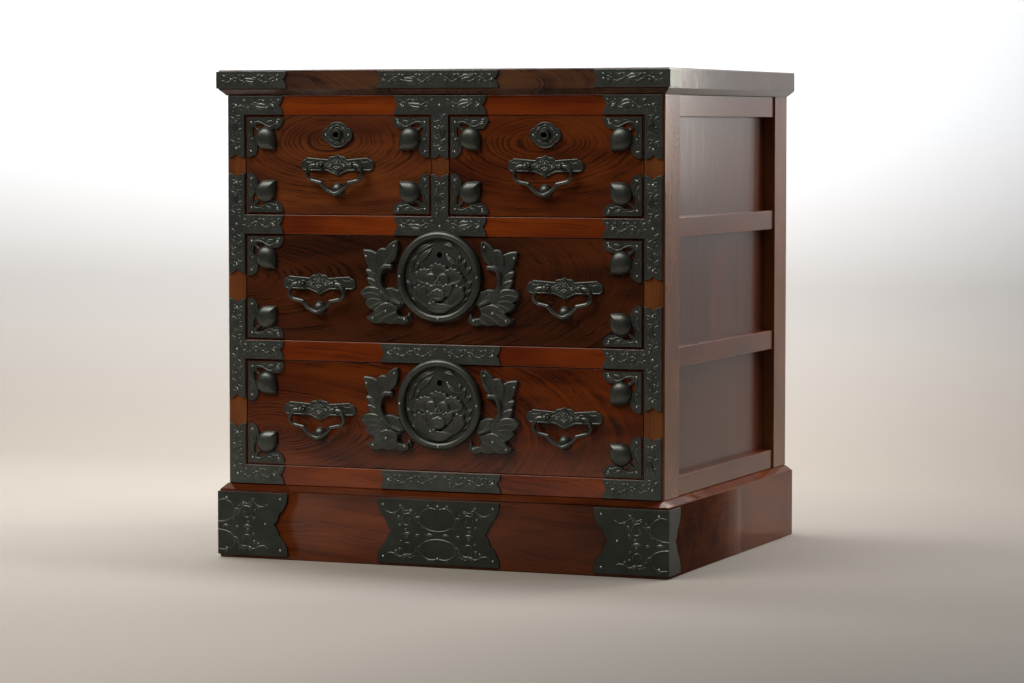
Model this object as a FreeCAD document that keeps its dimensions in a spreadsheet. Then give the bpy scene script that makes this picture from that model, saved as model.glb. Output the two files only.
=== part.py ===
import FreeCAD, Part
import math
import os
from types import SimpleNamespace

# Small tansu chest: a framed case on a plinth, two small drawers over two wide ones, iron
# straps on every corner, cusped bails and a lock in each drawer.
#
# Lengths are in millimetres. +X is to the right of someone who faces the drawers, +Y goes to
# the back and +Z up. The origin lies on the floor, under the middle of the whole outline.

Vector = FreeCAD.Vector

# ---------------------------------------------------------------------------------------
# Driving dimensions: alias, value, meaning
# ---------------------------------------------------------------------------------------
SIZES = [
    ("body_width", "531.8", "case, outside to outside"),
    ("body_depth", "442.9", "case, front face to the back of the rear posts"),
    ("plinth_height", "85.5", "height of the plinth"),
    ("rail_height", "22.4", "height of each front and side rail"),
    ("wide_opening", "121.2", "height of a wide drawer's opening"),
    ("small_opening", "113.2", "height of the small drawers' opening"),
    ("top_thickness", "29.3", "thickness of the top board"),
    ("stile_width", "23.4", "front stile and rear post, seen from the front"),
    ("stile_depth", "50.0", "front stile, front to back"),
    ("post_depth", "48.0", "rear post, front to back"),
    ("corner_round", "3.0", "rounding of the case's upright corners"),
    ("rail_depth", "40.0", "front rail and divider, front to back"),
    ("divider_width", "20.6", "divider between the small drawers"),
    ("partition", "14.0", "board behind the divider"),
    ("side_top_rail", "24.5", "height of the highest side rail"),
    ("side_setback", "2.0", "side rail's face behind the rear post's face"),
    ("side_rail", "12.0", "thickness of a side rail"),
    ("side_panel", "5.0", "thickness of a side panel"),
    ("groove", "6.0", "depth of the grooves that hold the panels"),
    ("back_inset", "6.9", "back panel's rear face inside the posts' rear face"),
    ("back_panel", "6.0", "thickness of the back panel"),
    ("batten_height", "42.0", "height of a batten across the back"),
    ("batten_thickness", "5.0", "thickness of a batten across the back"),
    ("dust_board", "8.0", "board that the drawers run on"),
    ("bottom_board", "10.0", "lowest board of the case"),
    ("guide_height", "14.0", "drawer guide above its board"),
    ("plinth_overhang", "7.5", "plinth beyond the case, front and sides"),
    ("plinth_rear", "2.8", "plinth beyond the case at the back"),
    ("plinth_board", "24.0", "thickness of a plinth board"),
    ("plinth_bevel", "7.0", "bevel on the plinth's upper edge"),
    ("top_overhang", "7.1", "top board beyond the case, front and sides"),
    ("top_rear", "5.2", "top board beyond the case at the back"),
    ("top_bevel", "6.8", "bevel under the top board's edge"),
    ("top_round", "1.8", "rounding of the top board's upper edge"),
    ("drawer_gap", "0.9", "gap round a drawer front"),
    ("slide_gap", "0.3", "drawer side above the board it runs on"),
    ("drawer_setback", "0.5", "drawer front's face behind the case's face"),
    ("front_board", "16.0", "thickness of a drawer front"),
    ("drawer_end_gap", "12.0", "back panel behind a closed drawer"),
    ("drawer_side", "9.0", "thickness of a drawer side and back"),
    ("side_drop", "8.0", "drawer side's top below the drawer front's top"),
    ("drawer_floor", "5.0", "thickness of a drawer's bottom"),
    ("floor_rise", "3.0", "drawer bottom above the drawer sides' lower edge"),
    ("iron", "2.2", "thickness of the straps and plates on the case"),
    ("strap_inset", "2.5", "stile strap's outer edge inside the case's corner"),
    ("strap_gap", "0.6", "strap's edge inside the edge of its rail or stile"),
    ("arm_reach", "48.0", "strap's arm along a rail, beyond the stile"),
    ("stem_up", "47.0", "strap's stem above its rail"),
    ("stem_top", "48.3", "stem below the top rail"),
    ("stem_down", "45.0", "strap's stem below its rail"),
    ("centre_arm", "56.0", "centre strap's arm, from the middle of the chest"),
    ("bar_half", "73.0", "half the length of the bars on the rails"),
    ("notch", "5.0", "depth of the notch in a strap's end"),
    ("edge_plate", "19.5", "height of the plates on the top board's edge"),
    ("edge_plate_drop", "2.0", "their upper edge below the top board's top"),
    ("edge_centre_half", "73.5", "half the length of the centre plate there"),
    ("corner_reach", "86.5", "corner plate's length along the front"),
    ("corner_wrap", "36.5", "corner plate's length along the side"),
    ("plinth_plate", "73.0", "height of the plates on the plinth"),
    ("plinth_plate_low", "3.5", "their lower edge above the floor"),
    ("plinth_centre_half", "74.5", "half the length of the plinth's centre plate"),
    ("lobe_step", "11.0", "inward step of a plinth plate's outer lobe"),
    ("waist_step", "17.5", "inward step of a plinth plate's waist"),
    ("drawer_iron", "2.0", "thickness of the ironwork on the drawers"),
    ("corner_inset", "1.7", "drawer strap inside the drawer front's corner"),
    ("leaf_arm", "45.0", "drawer strap's arm"),
    ("leaf_width", "13.0", "greatest width of that arm"),
    ("fruit_centre", "23.8", "fruit's centre from the strap's outer edges"),
    ("fruit_radius", "12.8", "radius of the fruit"),
    ("fruit_height", "6.5", "fruit above its strap"),
    ("key_drop", "22.2", "small drawer's keyhole below the opening's upper edge"),
    ("wide_key_drop", "20.8", "wide drawer's keyhole below the opening's upper edge"),
    ("key_radius", "3.4", "radius of a keyhole"),
    ("escutcheon_half", "18.9", "half the width of a small drawer's key plate"),
    ("key_boss", "7.8", "radius of its key boss where it meets the plate"),
    ("key_tube", "5.4", "radius of the key boss at its mouth"),
    ("tube_reach", "6.4", "mouth of the key boss in front of the drawer front"),
    ("disc_radius", "51.2", "radius of a wide drawer's lock plate"),
    ("disc_drop", "24.5", "lock plate's centre below its keyhole"),
    ("rim_width", "8.6", "width of the lock plate's rim"),
    ("rim_height", "8.8", "height of the lock plate's rim"),
    ("field_edge", "3.0", "thickness of the lock plate inside the rim"),
    ("field_middle", "4.4", "thickness of the lock plate at its centre"),
    ("clearance", "0.6", "lock plate in front of the ironwork on the rail"),
    ("foliage", "3.0", "thickness of the foliage beside the lock plate"),
    ("seat_gap", "0.3", "gap between curved pieces that lie together"),
    ("lock_width", "38.0", "width of a lock case"),
    ("lock_height", "34.0", "height of a lock case"),
    ("lock_depth", "11.0", "depth of a lock case"),
    ("lock_wall", "1.6", "wall of a lock case"),
    ("lock_drop", "2.0", "lock case below the drawer front's top"),
    ("bolt_width", "12.0", "width of a lock bolt"),
    ("bolt_thick", "5.0", "thickness of a lock bolt"),
    ("bolt_length", "15.0", "length of a lock bolt"),
    ("bolt_travel", "7.0", "travel of a lock bolt"),
    ("bolt_gap", "0.25", "clearance round a lock bolt"),
    ("mortise_gap", "1.2", "clearance round a bolt in its rail's mortise"),
    ("handle_offset", "149.5", "handles of a wide drawer from its middle"),
    ("wide_rise", "5.0", "bail's axis above the middle of a wide opening"),
    ("bail_plate", "1.8", "thickness of a handle's back plate"),
    ("plate_half", "45.4", "half the length of a handle's back plate"),
    ("flower", "1.6", "flower boss above the back plate"),
    ("pivot_reach", "9.0", "bail's axis in front of the drawer front"),
    ("post_offset", "20.4", "eye post from the handle's middle"),
    ("ball_radius", "3.6", "radius of the eye post's ball"),
    ("neck_radius", "2.3", "radius of the eye post's neck"),
    ("shank_radius", "1.5", "radius of the shank through the drawer front"),
    ("shank_gap", "0.05", "clearance round a shank"),
    ("clench", "1.5", "shank behind the drawer front"),
    ("pin_radius", "1.75", "radius of the bail's ends"),
    ("pin_gap", "0.08", "clearance of the bail's ends in their eyes"),
    ("bail_radius", "2.4", "radius of the bail's rod"),
    ("ear_top", "8.0", "radius of the bail's upper bend"),
    ("ear_low", "8.3", "radius of the bail's lower bend"),
    ("bail_half", "33.6", "bail's rod from its middle at the widest"),
    ("ear_straight", "1.4", "straight between the two bends"),
    ("shoulder_turn", "78.0", "turn of the lower bend in degrees"),
    ("cusp_half", "16.8", "cusp from the bail's middle"),
    ("bail_drop", "32.0", "lowest point of the bail's rod below its axis"),
    ("grip_bulge", "2.0", "bulge of the grip between the cusp and the lowest point"),
    ("striker_radius", "8.2", "radius of the striker under a bail"),
    ("striker_drop", "27.8", "striker's centre below the bail's axis"),
]


class Dim:
    """A length that knows its number and the sheet's expression behind it."""

    def __init__(self, text, number):
        self.text = text
        self.number = float(number)

    def joined(self, sign, other, number):
        """Return the combination of this length and another by one operator."""
        return Dim("(%s %s %s)" % (self.text, sign, other.text), number)

    def __add__(self, other):
        other = as_dim(other)
        return self.joined("+", other, self.number + other.number)

    def __radd__(self, other):
        return as_dim(other) + self

    def __sub__(self, other):
        other = as_dim(other)
        return self.joined("-", other, self.number - other.number)

    def __rsub__(self, other):
        return as_dim(other) - self

    def __mul__(self, factor):
        factor = as_dim(factor)
        return self.joined("*", factor, self.number * factor.number)

    def __rmul__(self, factor):
        return self * factor

    def __truediv__(self, divisor):
        divisor = as_dim(divisor)
        return self.joined("/", divisor, self.number / divisor.number)

    def __neg__(self):
        return self * -1

    def __float__(self):
        return self.number


def as_dim(value):
    """Return a Dim for a Dim or for a plain number."""
    if isinstance(value, Dim):
        return value
    return Dim("(%r)" % float(value), value)


doc = FreeCAD.newDocument("SmallTansuChest")
sheet = doc.addObject("Spreadsheet::Sheet", "Sizes")
for row, (alias, value, meaning) in enumerate(SIZES, start=1):
    sheet.set("A%d" % row, meaning)
    sheet.set("B%d" % row, value)
    sheet.setAlias("B%d" % row, alias)
doc.recompute()

size = SimpleNamespace(**{alias: Dim("Sizes." + alias, sheet.get(alias)) for alias, _, _ in SIZES})

# ---------------------------------------------------------------------------------------
# Levels and planes that several pieces share
# ---------------------------------------------------------------------------------------
half_body = size.body_width / 2
bay_edge = half_body - size.stile_width
half_divider = size.divider_width / 2
panel_out = half_body - size.side_setback - size.side_rail
panel_in = panel_out - size.side_panel

bail_front = size.pivot_reach + size.ball_radius - size.drawer_setback
front_y = (bail_front - size.body_depth - size.top_rear) / 2
back_y = front_y + size.body_depth
post_y = back_y - size.post_depth
back_panel_y = back_y - size.back_inset - size.back_panel
rail_back_y = front_y + size.rail_depth
drawer_y = front_y + size.drawer_setback
drawer_inside_y = drawer_y + size.front_board
drawer_back_y = back_panel_y - size.drawer_end_gap


def stacked(start, heights):
    """Return the (low, high) levels of pieces that are stacked upward from start."""
    levels = []
    for height in heights:
        levels.append((start, start + height))
        start = start + height
    return levels


(bottom_rail, lower_bay, middle_rail, upper_bay, upper_rail, small_bay, top_rail) = stacked(
    size.plinth_height,
    [size.rail_height, size.wide_opening, size.rail_height, size.wide_opening,
     size.rail_height, size.small_opening, size.rail_height])
case_z = (size.plinth_height, top_rail[1])


# ---------------------------------------------------------------------------------------
# Helpers
# ---------------------------------------------------------------------------------------
subparts = []


def bind(thing, prop, dim):
    """Bind one property to the sheet."""
    thing.setExpression(prop, as_dim(dim).text)


def bind_place(thing, x, y, z):
    """Bind the base of a placement to the sheet."""
    for axis, dim in (("x", x), ("y", y), ("z", z)):
        bind(thing, "Placement.Base." + axis, dim)


def publish(thing, label):
    """Make a document object the sub-part that is exported under this label."""
    thing.Label = label
    subparts.append(thing)
    return thing


def board(name, x, y, z):
    """Return a box between two x, two y and two z planes."""
    box = doc.addObject("Part::Box", name)
    bind(box, "Length", x[1] - x[0])
    bind(box, "Width", y[1] - y[0])
    bind(box, "Height", z[1] - z[0])
    bind_place(box, x[0], y[0], z[0])
    return box


def rod_to_front(name, x, y, z, radius, length):
    """Return a cylinder that starts at y and runs towards the front."""
    rod = doc.addObject("Part::Cylinder", name)
    rod.Placement.Rotation = FreeCAD.Rotation(Vector(1, 0, 0), 90)
    bind(rod, "Radius", radius)
    bind(rod, "Height", length)
    bind_place(rod, x, y, z)
    return rod


def group(name, pieces):
    """Return separate solids as one object."""
    compound = doc.addObject("Part::Compound", name)
    compound.Links = pieces
    return compound


def cut(name, base, tools):
    """Return base less all the tools."""
    cutter = tools[0]
    if len(tools) > 1:
        cutter = doc.addObject("Part::MultiFuse", name + "_tools")
        cutter.Shapes = tools
    result = doc.addObject("Part::Cut", name)
    result.Base = base
    result.Tool = cutter
    return result


def new_body(name, x, y, z):
    """Return an empty body whose own origin sits at the given place."""
    body = doc.addObject("PartDesign::Body", name)
    bind_place(body, x, y, z)
    return body


def origin_plane(body, role):
    """Return one of the body's own origin planes."""
    return next(feature for feature in body.Origin.OriginFeatures if feature.Role == role)


def add_sketch(body, role, geometry, offset=0.0):
    """Return a sketch on one of the body's own origin planes."""
    sketch = body.newObject("Sketcher::SketchObject", body.Name + "_sketch")
    sketch.AttachmentSupport = [(origin_plane(body, role), "")]
    sketch.MapMode = "FlatFace"
    bind(sketch, "AttachmentOffset.Base.z", offset)
    sketch.addGeometry(geometry, False)
    return sketch


def add_pad(body, role, geometry, length, offset=0.0, backwards=False):
    """Pad an outline; on XZ_Plane the pad grows towards the front, -Y."""
    feature = body.newObject("PartDesign::Pad", body.Name + "_pad")
    feature.Profile = add_sketch(body, role, geometry, offset)
    feature.Reversed = backwards
    bind(feature, "Length", length)
    return feature


def add_pocket(body, role, geometry, length, backwards=False):
    """Cut an outline out of the body and check that material went away."""
    doc.recompute()
    before = body.Shape.Volume
    feature = body.newObject("PartDesign::Pocket", body.Name + "_pocket")
    feature.Profile = add_sketch(body, role, geometry)
    feature.Reversed = backwards
    bind(feature, "Length", length)
    doc.recompute()
    if body.Shape.Volume >= before:
        raise RuntimeError("%s cut nothing" % feature.Name)
    return feature


def add_revolution(body, geometry):
    """Turn a profile on the XY plane once round the body's Y axis."""
    sketch = add_sketch(body, "XY_Plane", geometry)
    feature = body.newObject("PartDesign::Revolution", body.Name + "_turned")
    feature.Profile = sketch
    feature.ReferenceAxis = (sketch, ["V_Axis"])
    feature.Angle = 360
    return feature


def dress_edges(body, kind, prop, dim, wanted):
    """Fillet or chamfer the edges of the body that the test accepts."""
    doc.recompute()
    base = body.Tip
    names = ["Edge%d" % (i + 1) for i, edge in enumerate(base.Shape.Edges) if wanted(edge)]
    feature = body.newObject("PartDesign::" + kind, body.Name + "_" + kind.lower())
    feature.Base = (base, names)
    bind(feature, prop, dim)
    return feature


def point(x, z):
    """Return a sketch point from numbers or Dims."""
    return Vector(float(x), float(z), 0)


def traced(start, steps):
    """Return an outline's edges: a step of one point is a line, of two points an arc."""
    edges = []
    here = start
    for step in steps:
        if len(step) == 1:
            edges.append(Part.LineSegment(here, step[0]))
        else:
            edges.append(Part.Arc(here, step[0], step[1]))
        here = step[-1]
    return edges


def polygon(corners):
    """Return the edges of a closed polygon."""
    return traced(corners[-1], [(corner,) for corner in corners])


def rectangle(x, z):
    """Return the edges of a rectangle between two x and two z values."""
    return polygon([point(x[0], z[0]), point(x[1], z[0]), point(x[1], z[1]), point(x[0], z[1])])


def circle(x, z, radius):
    """Return a circle as sketch geometry."""
    return Part.Circle(point(x, z), Vector(0, 0, 1), float(radius))


def level(edge, height):
    """Tell whether an edge lies at one height."""
    box = edge.BoundBox
    return abs(box.ZMin - float(height)) < 0.01 and abs(box.ZMax - float(height)) < 0.01


# ---------------------------------------------------------------------------------------
# Case
# ---------------------------------------------------------------------------------------
def make_top_board():
    """The top: a slab that overhangs the case, bevelled under its edge."""
    half = half_body + size.top_overhang
    body = new_body("top_board", 0, front_y, top_rail[1])
    add_pad(body, "XY_Plane",
            rectangle((-half, half), (-size.top_overhang, size.body_depth + size.top_rear)),
            size.top_thickness)
    dress_edges(body, "Chamfer", "Size", size.top_bevel, lambda edge: level(edge, 0))
    dress_edges(body, "Fillet", "Radius", size.top_round,
                lambda edge: level(edge, size.top_thickness))
    publish(body, "top_board")


def upright_corner(side):
    """Return a test for the case's outer upright corner edge at the body's y of zero."""
    def wanted(edge):
        box = edge.BoundBox
        return (box.XLength < 0.01 and box.YLength < 0.01 and abs(box.YMin) < 0.01
                and abs(box.XMin - side * float(half_body)) < 0.01)
    return wanted


def make_uprights(side, word):
    """One front stile and one rear post, grooved for the panels."""
    groove = size.groove
    plan = [(bay_edge, 0), (half_body, 0), (half_body, size.stile_depth),
            (panel_out, size.stile_depth), (panel_out, size.stile_depth - groove),
            (panel_in, size.stile_depth - groove), (panel_in, size.stile_depth),
            (bay_edge, size.stile_depth)]
    stile = new_body("front_stile_" + word, 0, front_y, case_z[0])
    add_pad(stile, "XY_Plane", polygon([point(side * x, y) for x, y in plan]),
            case_z[1] - case_z[0])
    dress_edges(stile, "Fillet", "Radius", size.corner_round, upright_corner(side))
    publish(stile, "front_stile_" + word)

    back_low = size.back_inset
    back_high = size.back_inset + size.back_panel
    plan = [(half_body, 0), (half_body, -size.post_depth), (panel_out, -size.post_depth),
            (panel_out, groove - size.post_depth), (panel_in, groove - size.post_depth),
            (panel_in, -size.post_depth), (bay_edge, -size.post_depth),
            (bay_edge, -back_high), (bay_edge + groove, -back_high),
            (bay_edge + groove, -back_low), (bay_edge, -back_low), (bay_edge, 0)]
    post = new_body("rear_post_" + word, 0, back_y, case_z[0])
    add_pad(post, "XY_Plane", polygon([point(side * x, y) for x, y in plan]),
            case_z[1] - case_z[0])
    dress_edges(post, "Fillet", "Radius", size.corner_round, upright_corner(side))
    publish(post, "rear_post_" + word)


def make_front_rail(name, z, bolt_places):
    """A front rail, mortised from below for the bolts that shoot into it."""
    rail = board(name + "_blank", (-bay_edge, bay_edge), (front_y, rail_back_y), z)
    if not bolt_places:
        return rail
    mortises = []
    for number, x in enumerate(bolt_places):
        half = size.bolt_width / 2 + size.mortise_gap
        mortises.append(board(
            "%s_mortise_%d" % (name, number), (x - half, x + half),
            (bolt_y[0] - size.mortise_gap, bolt_y[1] + size.mortise_gap),
            (z[0] - size.drawer_gap, z[0] - size.drawer_gap + size.bolt_travel + size.mortise_gap)))
    return cut(name, rail, mortises)


def make_case_frame():
    """Rails, divider and the boards inside the case."""
    small_middle = (half_divider + bay_edge) / 2
    rails = [make_front_rail("bottom_rail", bottom_rail, []),
             make_front_rail("middle_rail", middle_rail, [as_dim(0)]),
             make_front_rail("upper_rail", upper_rail, [as_dim(0)]),
             make_front_rail("top_rail", top_rail, [-small_middle, small_middle])]
    publish(group("front_rails", rails), "front_rails")

    publish(board("centre_divider", (-half_divider, half_divider), (front_y, rail_back_y),
                  small_bay), "centre_divider")
    half = size.partition / 2
    publish(board("partition_board", (-half, half), (rail_back_y, back_panel_y),
                  (small_bay[0], case_z[1])), "partition_board")

    inside = (-bay_edge, bay_edge)
    depth = (rail_back_y, back_panel_y)
    shelves = [board(name, inside, depth, (bay[0] - size.dust_board, bay[0]))
               for name, bay in (("lower_dust_board", upper_bay), ("upper_dust_board", small_bay))]
    publish(group("dust_boards", shelves), "dust_boards")
    publish(board("bottom_board", inside, depth, (lower_bay[0] - size.bottom_board, lower_bay[0])),
            "bottom_board")


def make_drawer_guides():
    """Strips beside the drawers, on the side panels and on the partition."""
    guides = []
    depth = (front_y + size.stile_depth, post_y)
    thickness = {"lower": size.bottom_board, "upper": size.dust_board, "small": size.dust_board}
    for word, bay in (("lower", lower_bay), ("upper", upper_bay), ("small", small_bay)):
        z = (bay[0] - thickness[word], bay[0] + size.guide_height)
        guides.append(board("guide_left_" + word, (-panel_in, -bay_edge), depth, z))
        guides.append(board("guide_right_" + word, (bay_edge, panel_in), depth, z))
    half = size.partition / 2
    z = (small_bay[0], small_bay[0] + size.guide_height)
    guides.append(board("guide_left_inner", (-half_divider, -half), depth, z))
    guides.append(board("guide_right_inner", (half, half_divider), depth, z))
    publish(group("drawer_guides", guides), "drawer_guides")


def make_side(side, word):
    """A side panel in its grooves and the four rails outside it."""
    panel = (side * panel_in, side * panel_out)
    face = (side * panel_out, side * (panel_out + size.side_rail))
    front = front_y + size.stile_depth
    publish(board("side_panel_" + word, ordered(panel), (front - size.groove, post_y + size.groove),
                  case_z), "side_panel_" + word)
    highest = (case_z[1] - size.side_top_rail, case_z[1])
    rails = [board("side_rail_%s_%d" % (word, number), ordered(face), (front, post_y), z)
             for number, z in enumerate((bottom_rail, middle_rail, upper_rail, highest))]
    publish(group("side_rails_" + word, rails), "side_rails_" + word)


def ordered(pair):
    """Return two Dims with the smaller one first."""
    return tuple(sorted(pair, key=float))


def make_back():
    """The back panel in the rear posts' grooves, and the battens across it."""
    reach = bay_edge + size.groove
    publish(board("back_panel", (-reach, reach), (back_panel_y, back_panel_y + size.back_panel),
                  case_z), "back_panel")
    y = (back_panel_y + size.back_panel, back_panel_y + size.back_panel + size.batten_thickness)
    middle = (case_z[0] + case_z[1]) / 2 - size.batten_height / 2
    lows = (case_z[0], middle, case_z[1] - size.batten_height)
    battens = [board("back_batten_%d" % number, (-bay_edge, bay_edge), y,
                     (low, low + size.batten_height)) for number, low in enumerate(lows)]
    publish(group("back_battens", battens), "back_battens")


def make_plinth():
    """Four mitred boards under the case, bevelled along their outer upper edge."""
    outer_x = half_body + size.plinth_overhang
    outer_y = (-size.plinth_overhang, size.body_depth + size.plinth_rear)
    inner_x = outer_x - size.plinth_board
    inner_y = (outer_y[0] + size.plinth_board, outer_y[1] - size.plinth_board)
    outer = [(-outer_x, outer_y[0]), (outer_x, outer_y[0]), (outer_x, outer_y[1]),
             (-outer_x, outer_y[1])]
    inner = [(-inner_x, inner_y[0]), (inner_x, inner_y[0]), (inner_x, inner_y[1]),
             (-inner_x, inner_y[1])]
    boards = []
    for i, word in enumerate(("front", "right", "back", "left")):
        nxt = (i + 1) % 4
        start, finish = point(*outer[i]), point(*outer[nxt])
        body = new_body("plinth_" + word, 0, front_y, 0)
        add_pad(body, "XY_Plane", polygon([start, finish, point(*inner[nxt]), point(*inner[i])]),
                size.plinth_height)
        middle = (start + finish) / 2 + Vector(0, 0, float(size.plinth_height))
        dress_edges(body, "Chamfer", "Size", size.plinth_bevel,
                    lambda edge, middle=middle: (edge.CenterOfMass - middle).Length < 0.1)
        boards.append(body)
    publish(group("plinth_boards", boards), "plinth_boards")


# ---------------------------------------------------------------------------------------
# Ironwork on the case
# ---------------------------------------------------------------------------------------
def notched_end(start, finish, inward):
    """Return the steps of a strap's end: two convex lobes that meet in a cusp."""
    depth = inward * float(size.notch)
    cusp = (start + finish) / 2 + depth
    first = (start + cusp) / 2 - depth * 0.3
    second = (finish + cusp) / 2 - depth * 0.3
    return [(first, cusp), (second, finish)]


def lobed_end(start, finish, inward):
    """Return the steps of a plinth plate's end: two lobes on each side of a waist."""
    span = finish - start
    lobe = inward * float(size.lobe_step)
    waist = (start + finish) / 2 + inward * float(size.waist_step)
    first = start + span * 0.33 + lobe
    last = finish - span * 0.33 + lobe
    steps = []
    for a, b, bulge in ((start, first, 0.34), (first, waist, 0.16),
                        (waist, last, 0.16), (last, finish, 0.34)):
        steps.append(((a + b) / 2 - lobe * bulge, b))
    return steps


def straight(*corners):
    """Return steps along straight lines."""
    return [(corner,) for corner in corners]


UP = Vector(0, 1, 0)
RIGHT = Vector(1, 0, 0)


def stile_strap(side, rail, up, down):
    """Return the outline of one strap on a stile: a stem with an arm along its rail."""
    inner = side * (bay_edge + size.strap_gap)
    outer = side * (half_body - size.strap_inset)
    tip = side * (bay_edge - size.arm_reach)
    low = rail[0] + size.strap_gap
    high = rail[1] - size.strap_gap
    foot = low if down is None else rail[0] - down
    head = high if up is None else rail[1] + up
    start = point(inner, low)
    steps = []
    if down is None:
        steps += straight(point(outer, foot))
    else:
        steps += straight(point(inner, foot))
        steps += notched_end(point(inner, foot), point(outer, foot), UP)
    if up is None:
        steps += straight(point(outer, head))
    else:
        steps += straight(point(outer, head))
        steps += notched_end(point(outer, head), point(inner, head), -UP)
        steps += straight(point(inner, high))
    steps += straight(point(tip, high))
    steps += notched_end(point(tip, high), point(tip, low), RIGHT * side)
    steps += straight(start)
    return traced(start, steps)


def centre_tee(rail, stem_low, stem_high):
    """Return the outline of a centre strap: an arm each way and a stem on the divider."""
    arm = size.centre_arm
    stem = half_divider
    low = rail[0] + size.strap_gap
    high = rail[1] - size.strap_gap
    start = point(-arm, high)
    steps = []
    if stem_high is not None:
        steps += straight(point(-stem, high), point(-stem, stem_high))
        steps += notched_end(point(-stem, stem_high), point(stem, stem_high), -UP)
        steps += straight(point(stem, high))
    steps += straight(point(arm, high))
    steps += notched_end(point(arm, high), point(arm, low), -RIGHT)
    if stem_low is not None:
        steps += straight(point(stem, low), point(stem, stem_low))
        steps += notched_end(point(stem, stem_low), point(-stem, stem_low), UP)
        steps += straight(point(-stem, low))
    steps += straight(point(-arm, low))
    steps += notched_end(point(-arm, low), point(-arm, high), RIGHT)
    return traced(start, steps)


def bar(half, low, high):
    """Return the outline of a straight bar with notched ends."""
    steps = straight(point(half, high))
    steps += notched_end(point(half, high), point(half, low), -RIGHT)
    steps += straight(point(-half, low))
    steps += notched_end(point(-half, low), point(-half, high), RIGHT)
    return traced(point(-half, high), steps)


def make_case_straps():
    """Straps nailed on the front frame, each lying on the case's front face."""
    for side, word in ((-1, "left"), (1, "right")):
        body = new_body("stile_straps_" + word, 0, front_y, 0)
        outlines = (stile_strap(side, top_rail, None, size.stem_top)
                    + stile_strap(side, upper_rail, size.stem_up, size.stem_down)
                    + stile_strap(side, middle_rail, size.stem_up, size.stem_down)
                    + stile_strap(side, bottom_rail, size.stem_up, None))
        add_pad(body, "XZ_Plane", outlines, size.iron)
        publish(body, "stile_straps_" + word)

    body = new_body("centre_straps", 0, front_y, 0)
    outlines = (centre_tee(top_rail, top_rail[0] - size.stem_top, None)
                + centre_tee(upper_rail, None, upper_rail[1] + size.stem_up))
    for rail in (middle_rail, bottom_rail):
        outlines += bar(size.bar_half, rail[0] + size.strap_gap, rail[1] - size.strap_gap)
    add_pad(body, "XZ_Plane", outlines, size.iron)
    publish(body, "centre_straps")


def corner_plate(name, side, overhang, z, front_end, side_end):
    """Return a plate that wraps round a front corner, one leg along each face."""
    outer = half_body + overhang
    inner = outer - size.corner_reach
    body = new_body(name, 0, front_y, 0)
    low, high = z
    steps = straight(point(side * (outer + size.iron), low), point(side * (outer + size.iron), high),
                     point(side * inner, high))
    steps += front_end(point(side * inner, high), point(side * inner, low), RIGHT * side)
    add_pad(body, "XZ_Plane", traced(point(side * inner, low), steps), size.iron, offset=overhang)
    reach = size.corner_wrap - overhang
    steps = straight(point(-overhang, low), point(-overhang, high), point(reach, high))
    steps += side_end(point(reach, high), point(reach, low), -RIGHT)
    add_pad(body, "YZ_Plane", traced(point(reach, low), steps), size.iron,
            offset=side * outer, backwards=side < 0)
    return body


def plain_end(start, finish, inward):
    """Return the step of a straight end."""
    return straight(finish)


def make_edge_plates():
    """Plates on the edge of the top board and on the plinth."""
    top = top_rail[1] + size.top_thickness - size.edge_plate_drop
    z = (top - size.edge_plate, top)
    pieces = [corner_plate("top_corner_" + word, side, size.top_overhang, z, notched_end, plain_end)
              for side, word in ((-1, "left"), (1, "right"))]
    centre = new_body("top_centre", 0, front_y - size.top_overhang, 0)
    add_pad(centre, "XZ_Plane", bar(size.edge_centre_half, *z), size.iron)
    publish(group("top_edge_plates", pieces + [centre]), "top_edge_plates")

    z = (size.plinth_plate_low, size.plinth_plate_low + size.plinth_plate)
    pieces = [corner_plate("plinth_corner_" + word, side, size.plinth_overhang, z, lobed_end,
                           lobed_end)
              for side, word in ((-1, "left"), (1, "right"))]
    centre = new_body("plinth_centre", 0, front_y - size.plinth_overhang, 0)
    half = size.plinth_centre_half
    steps = straight(point(half, z[1]))
    steps += lobed_end(point(half, z[1]), point(half, z[0]), -RIGHT)
    steps += straight(point(-half, z[0]))
    steps += lobed_end(point(-half, z[0]), point(-half, z[1]), RIGHT)
    add_pad(centre, "XZ_Plane", traced(point(-half, z[1]), steps), size.iron)
    publish(group("plinth_plates", pieces + [centre]), "plinth_plates")


# ---------------------------------------------------------------------------------------
# Ironwork on the drawers
# ---------------------------------------------------------------------------------------
def fruit_side(middle, radius):
    """Return the steps from a fruit's side to its pointed tip, for a fruit on the diagonal."""
    tip = middle + radius * 0.98
    return [((middle + radius * 1.02, middle + radius * 0.52), (tip, tip))]


def fruit_section(corner, across, up, share):
    """Return a fruit's outline shrunk towards its middle to a share of its size."""
    middle = float(size.fruit_centre)
    radius = float(size.fruit_radius) * share
    inner = middle - radius * math.sqrt(0.5)
    first = fruit_side(middle, radius)
    second = [(first[0][0][::-1], (middle, middle + radius))]
    steps = first + second + [((inner, inner), (middle + radius, middle))]
    return laid(corner, across, up, (middle + radius, middle), steps)


def laid(corner, across, up, start, steps):
    """Return the edges of steps given as (u, v) from a corner, along across and up."""
    def at(spot):
        return Vector(corner.x + across * spot[0], corner.y + up * spot[1], 0)

    return traced(at(start), [tuple(at(spot) for spot in step) for step in steps])


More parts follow.
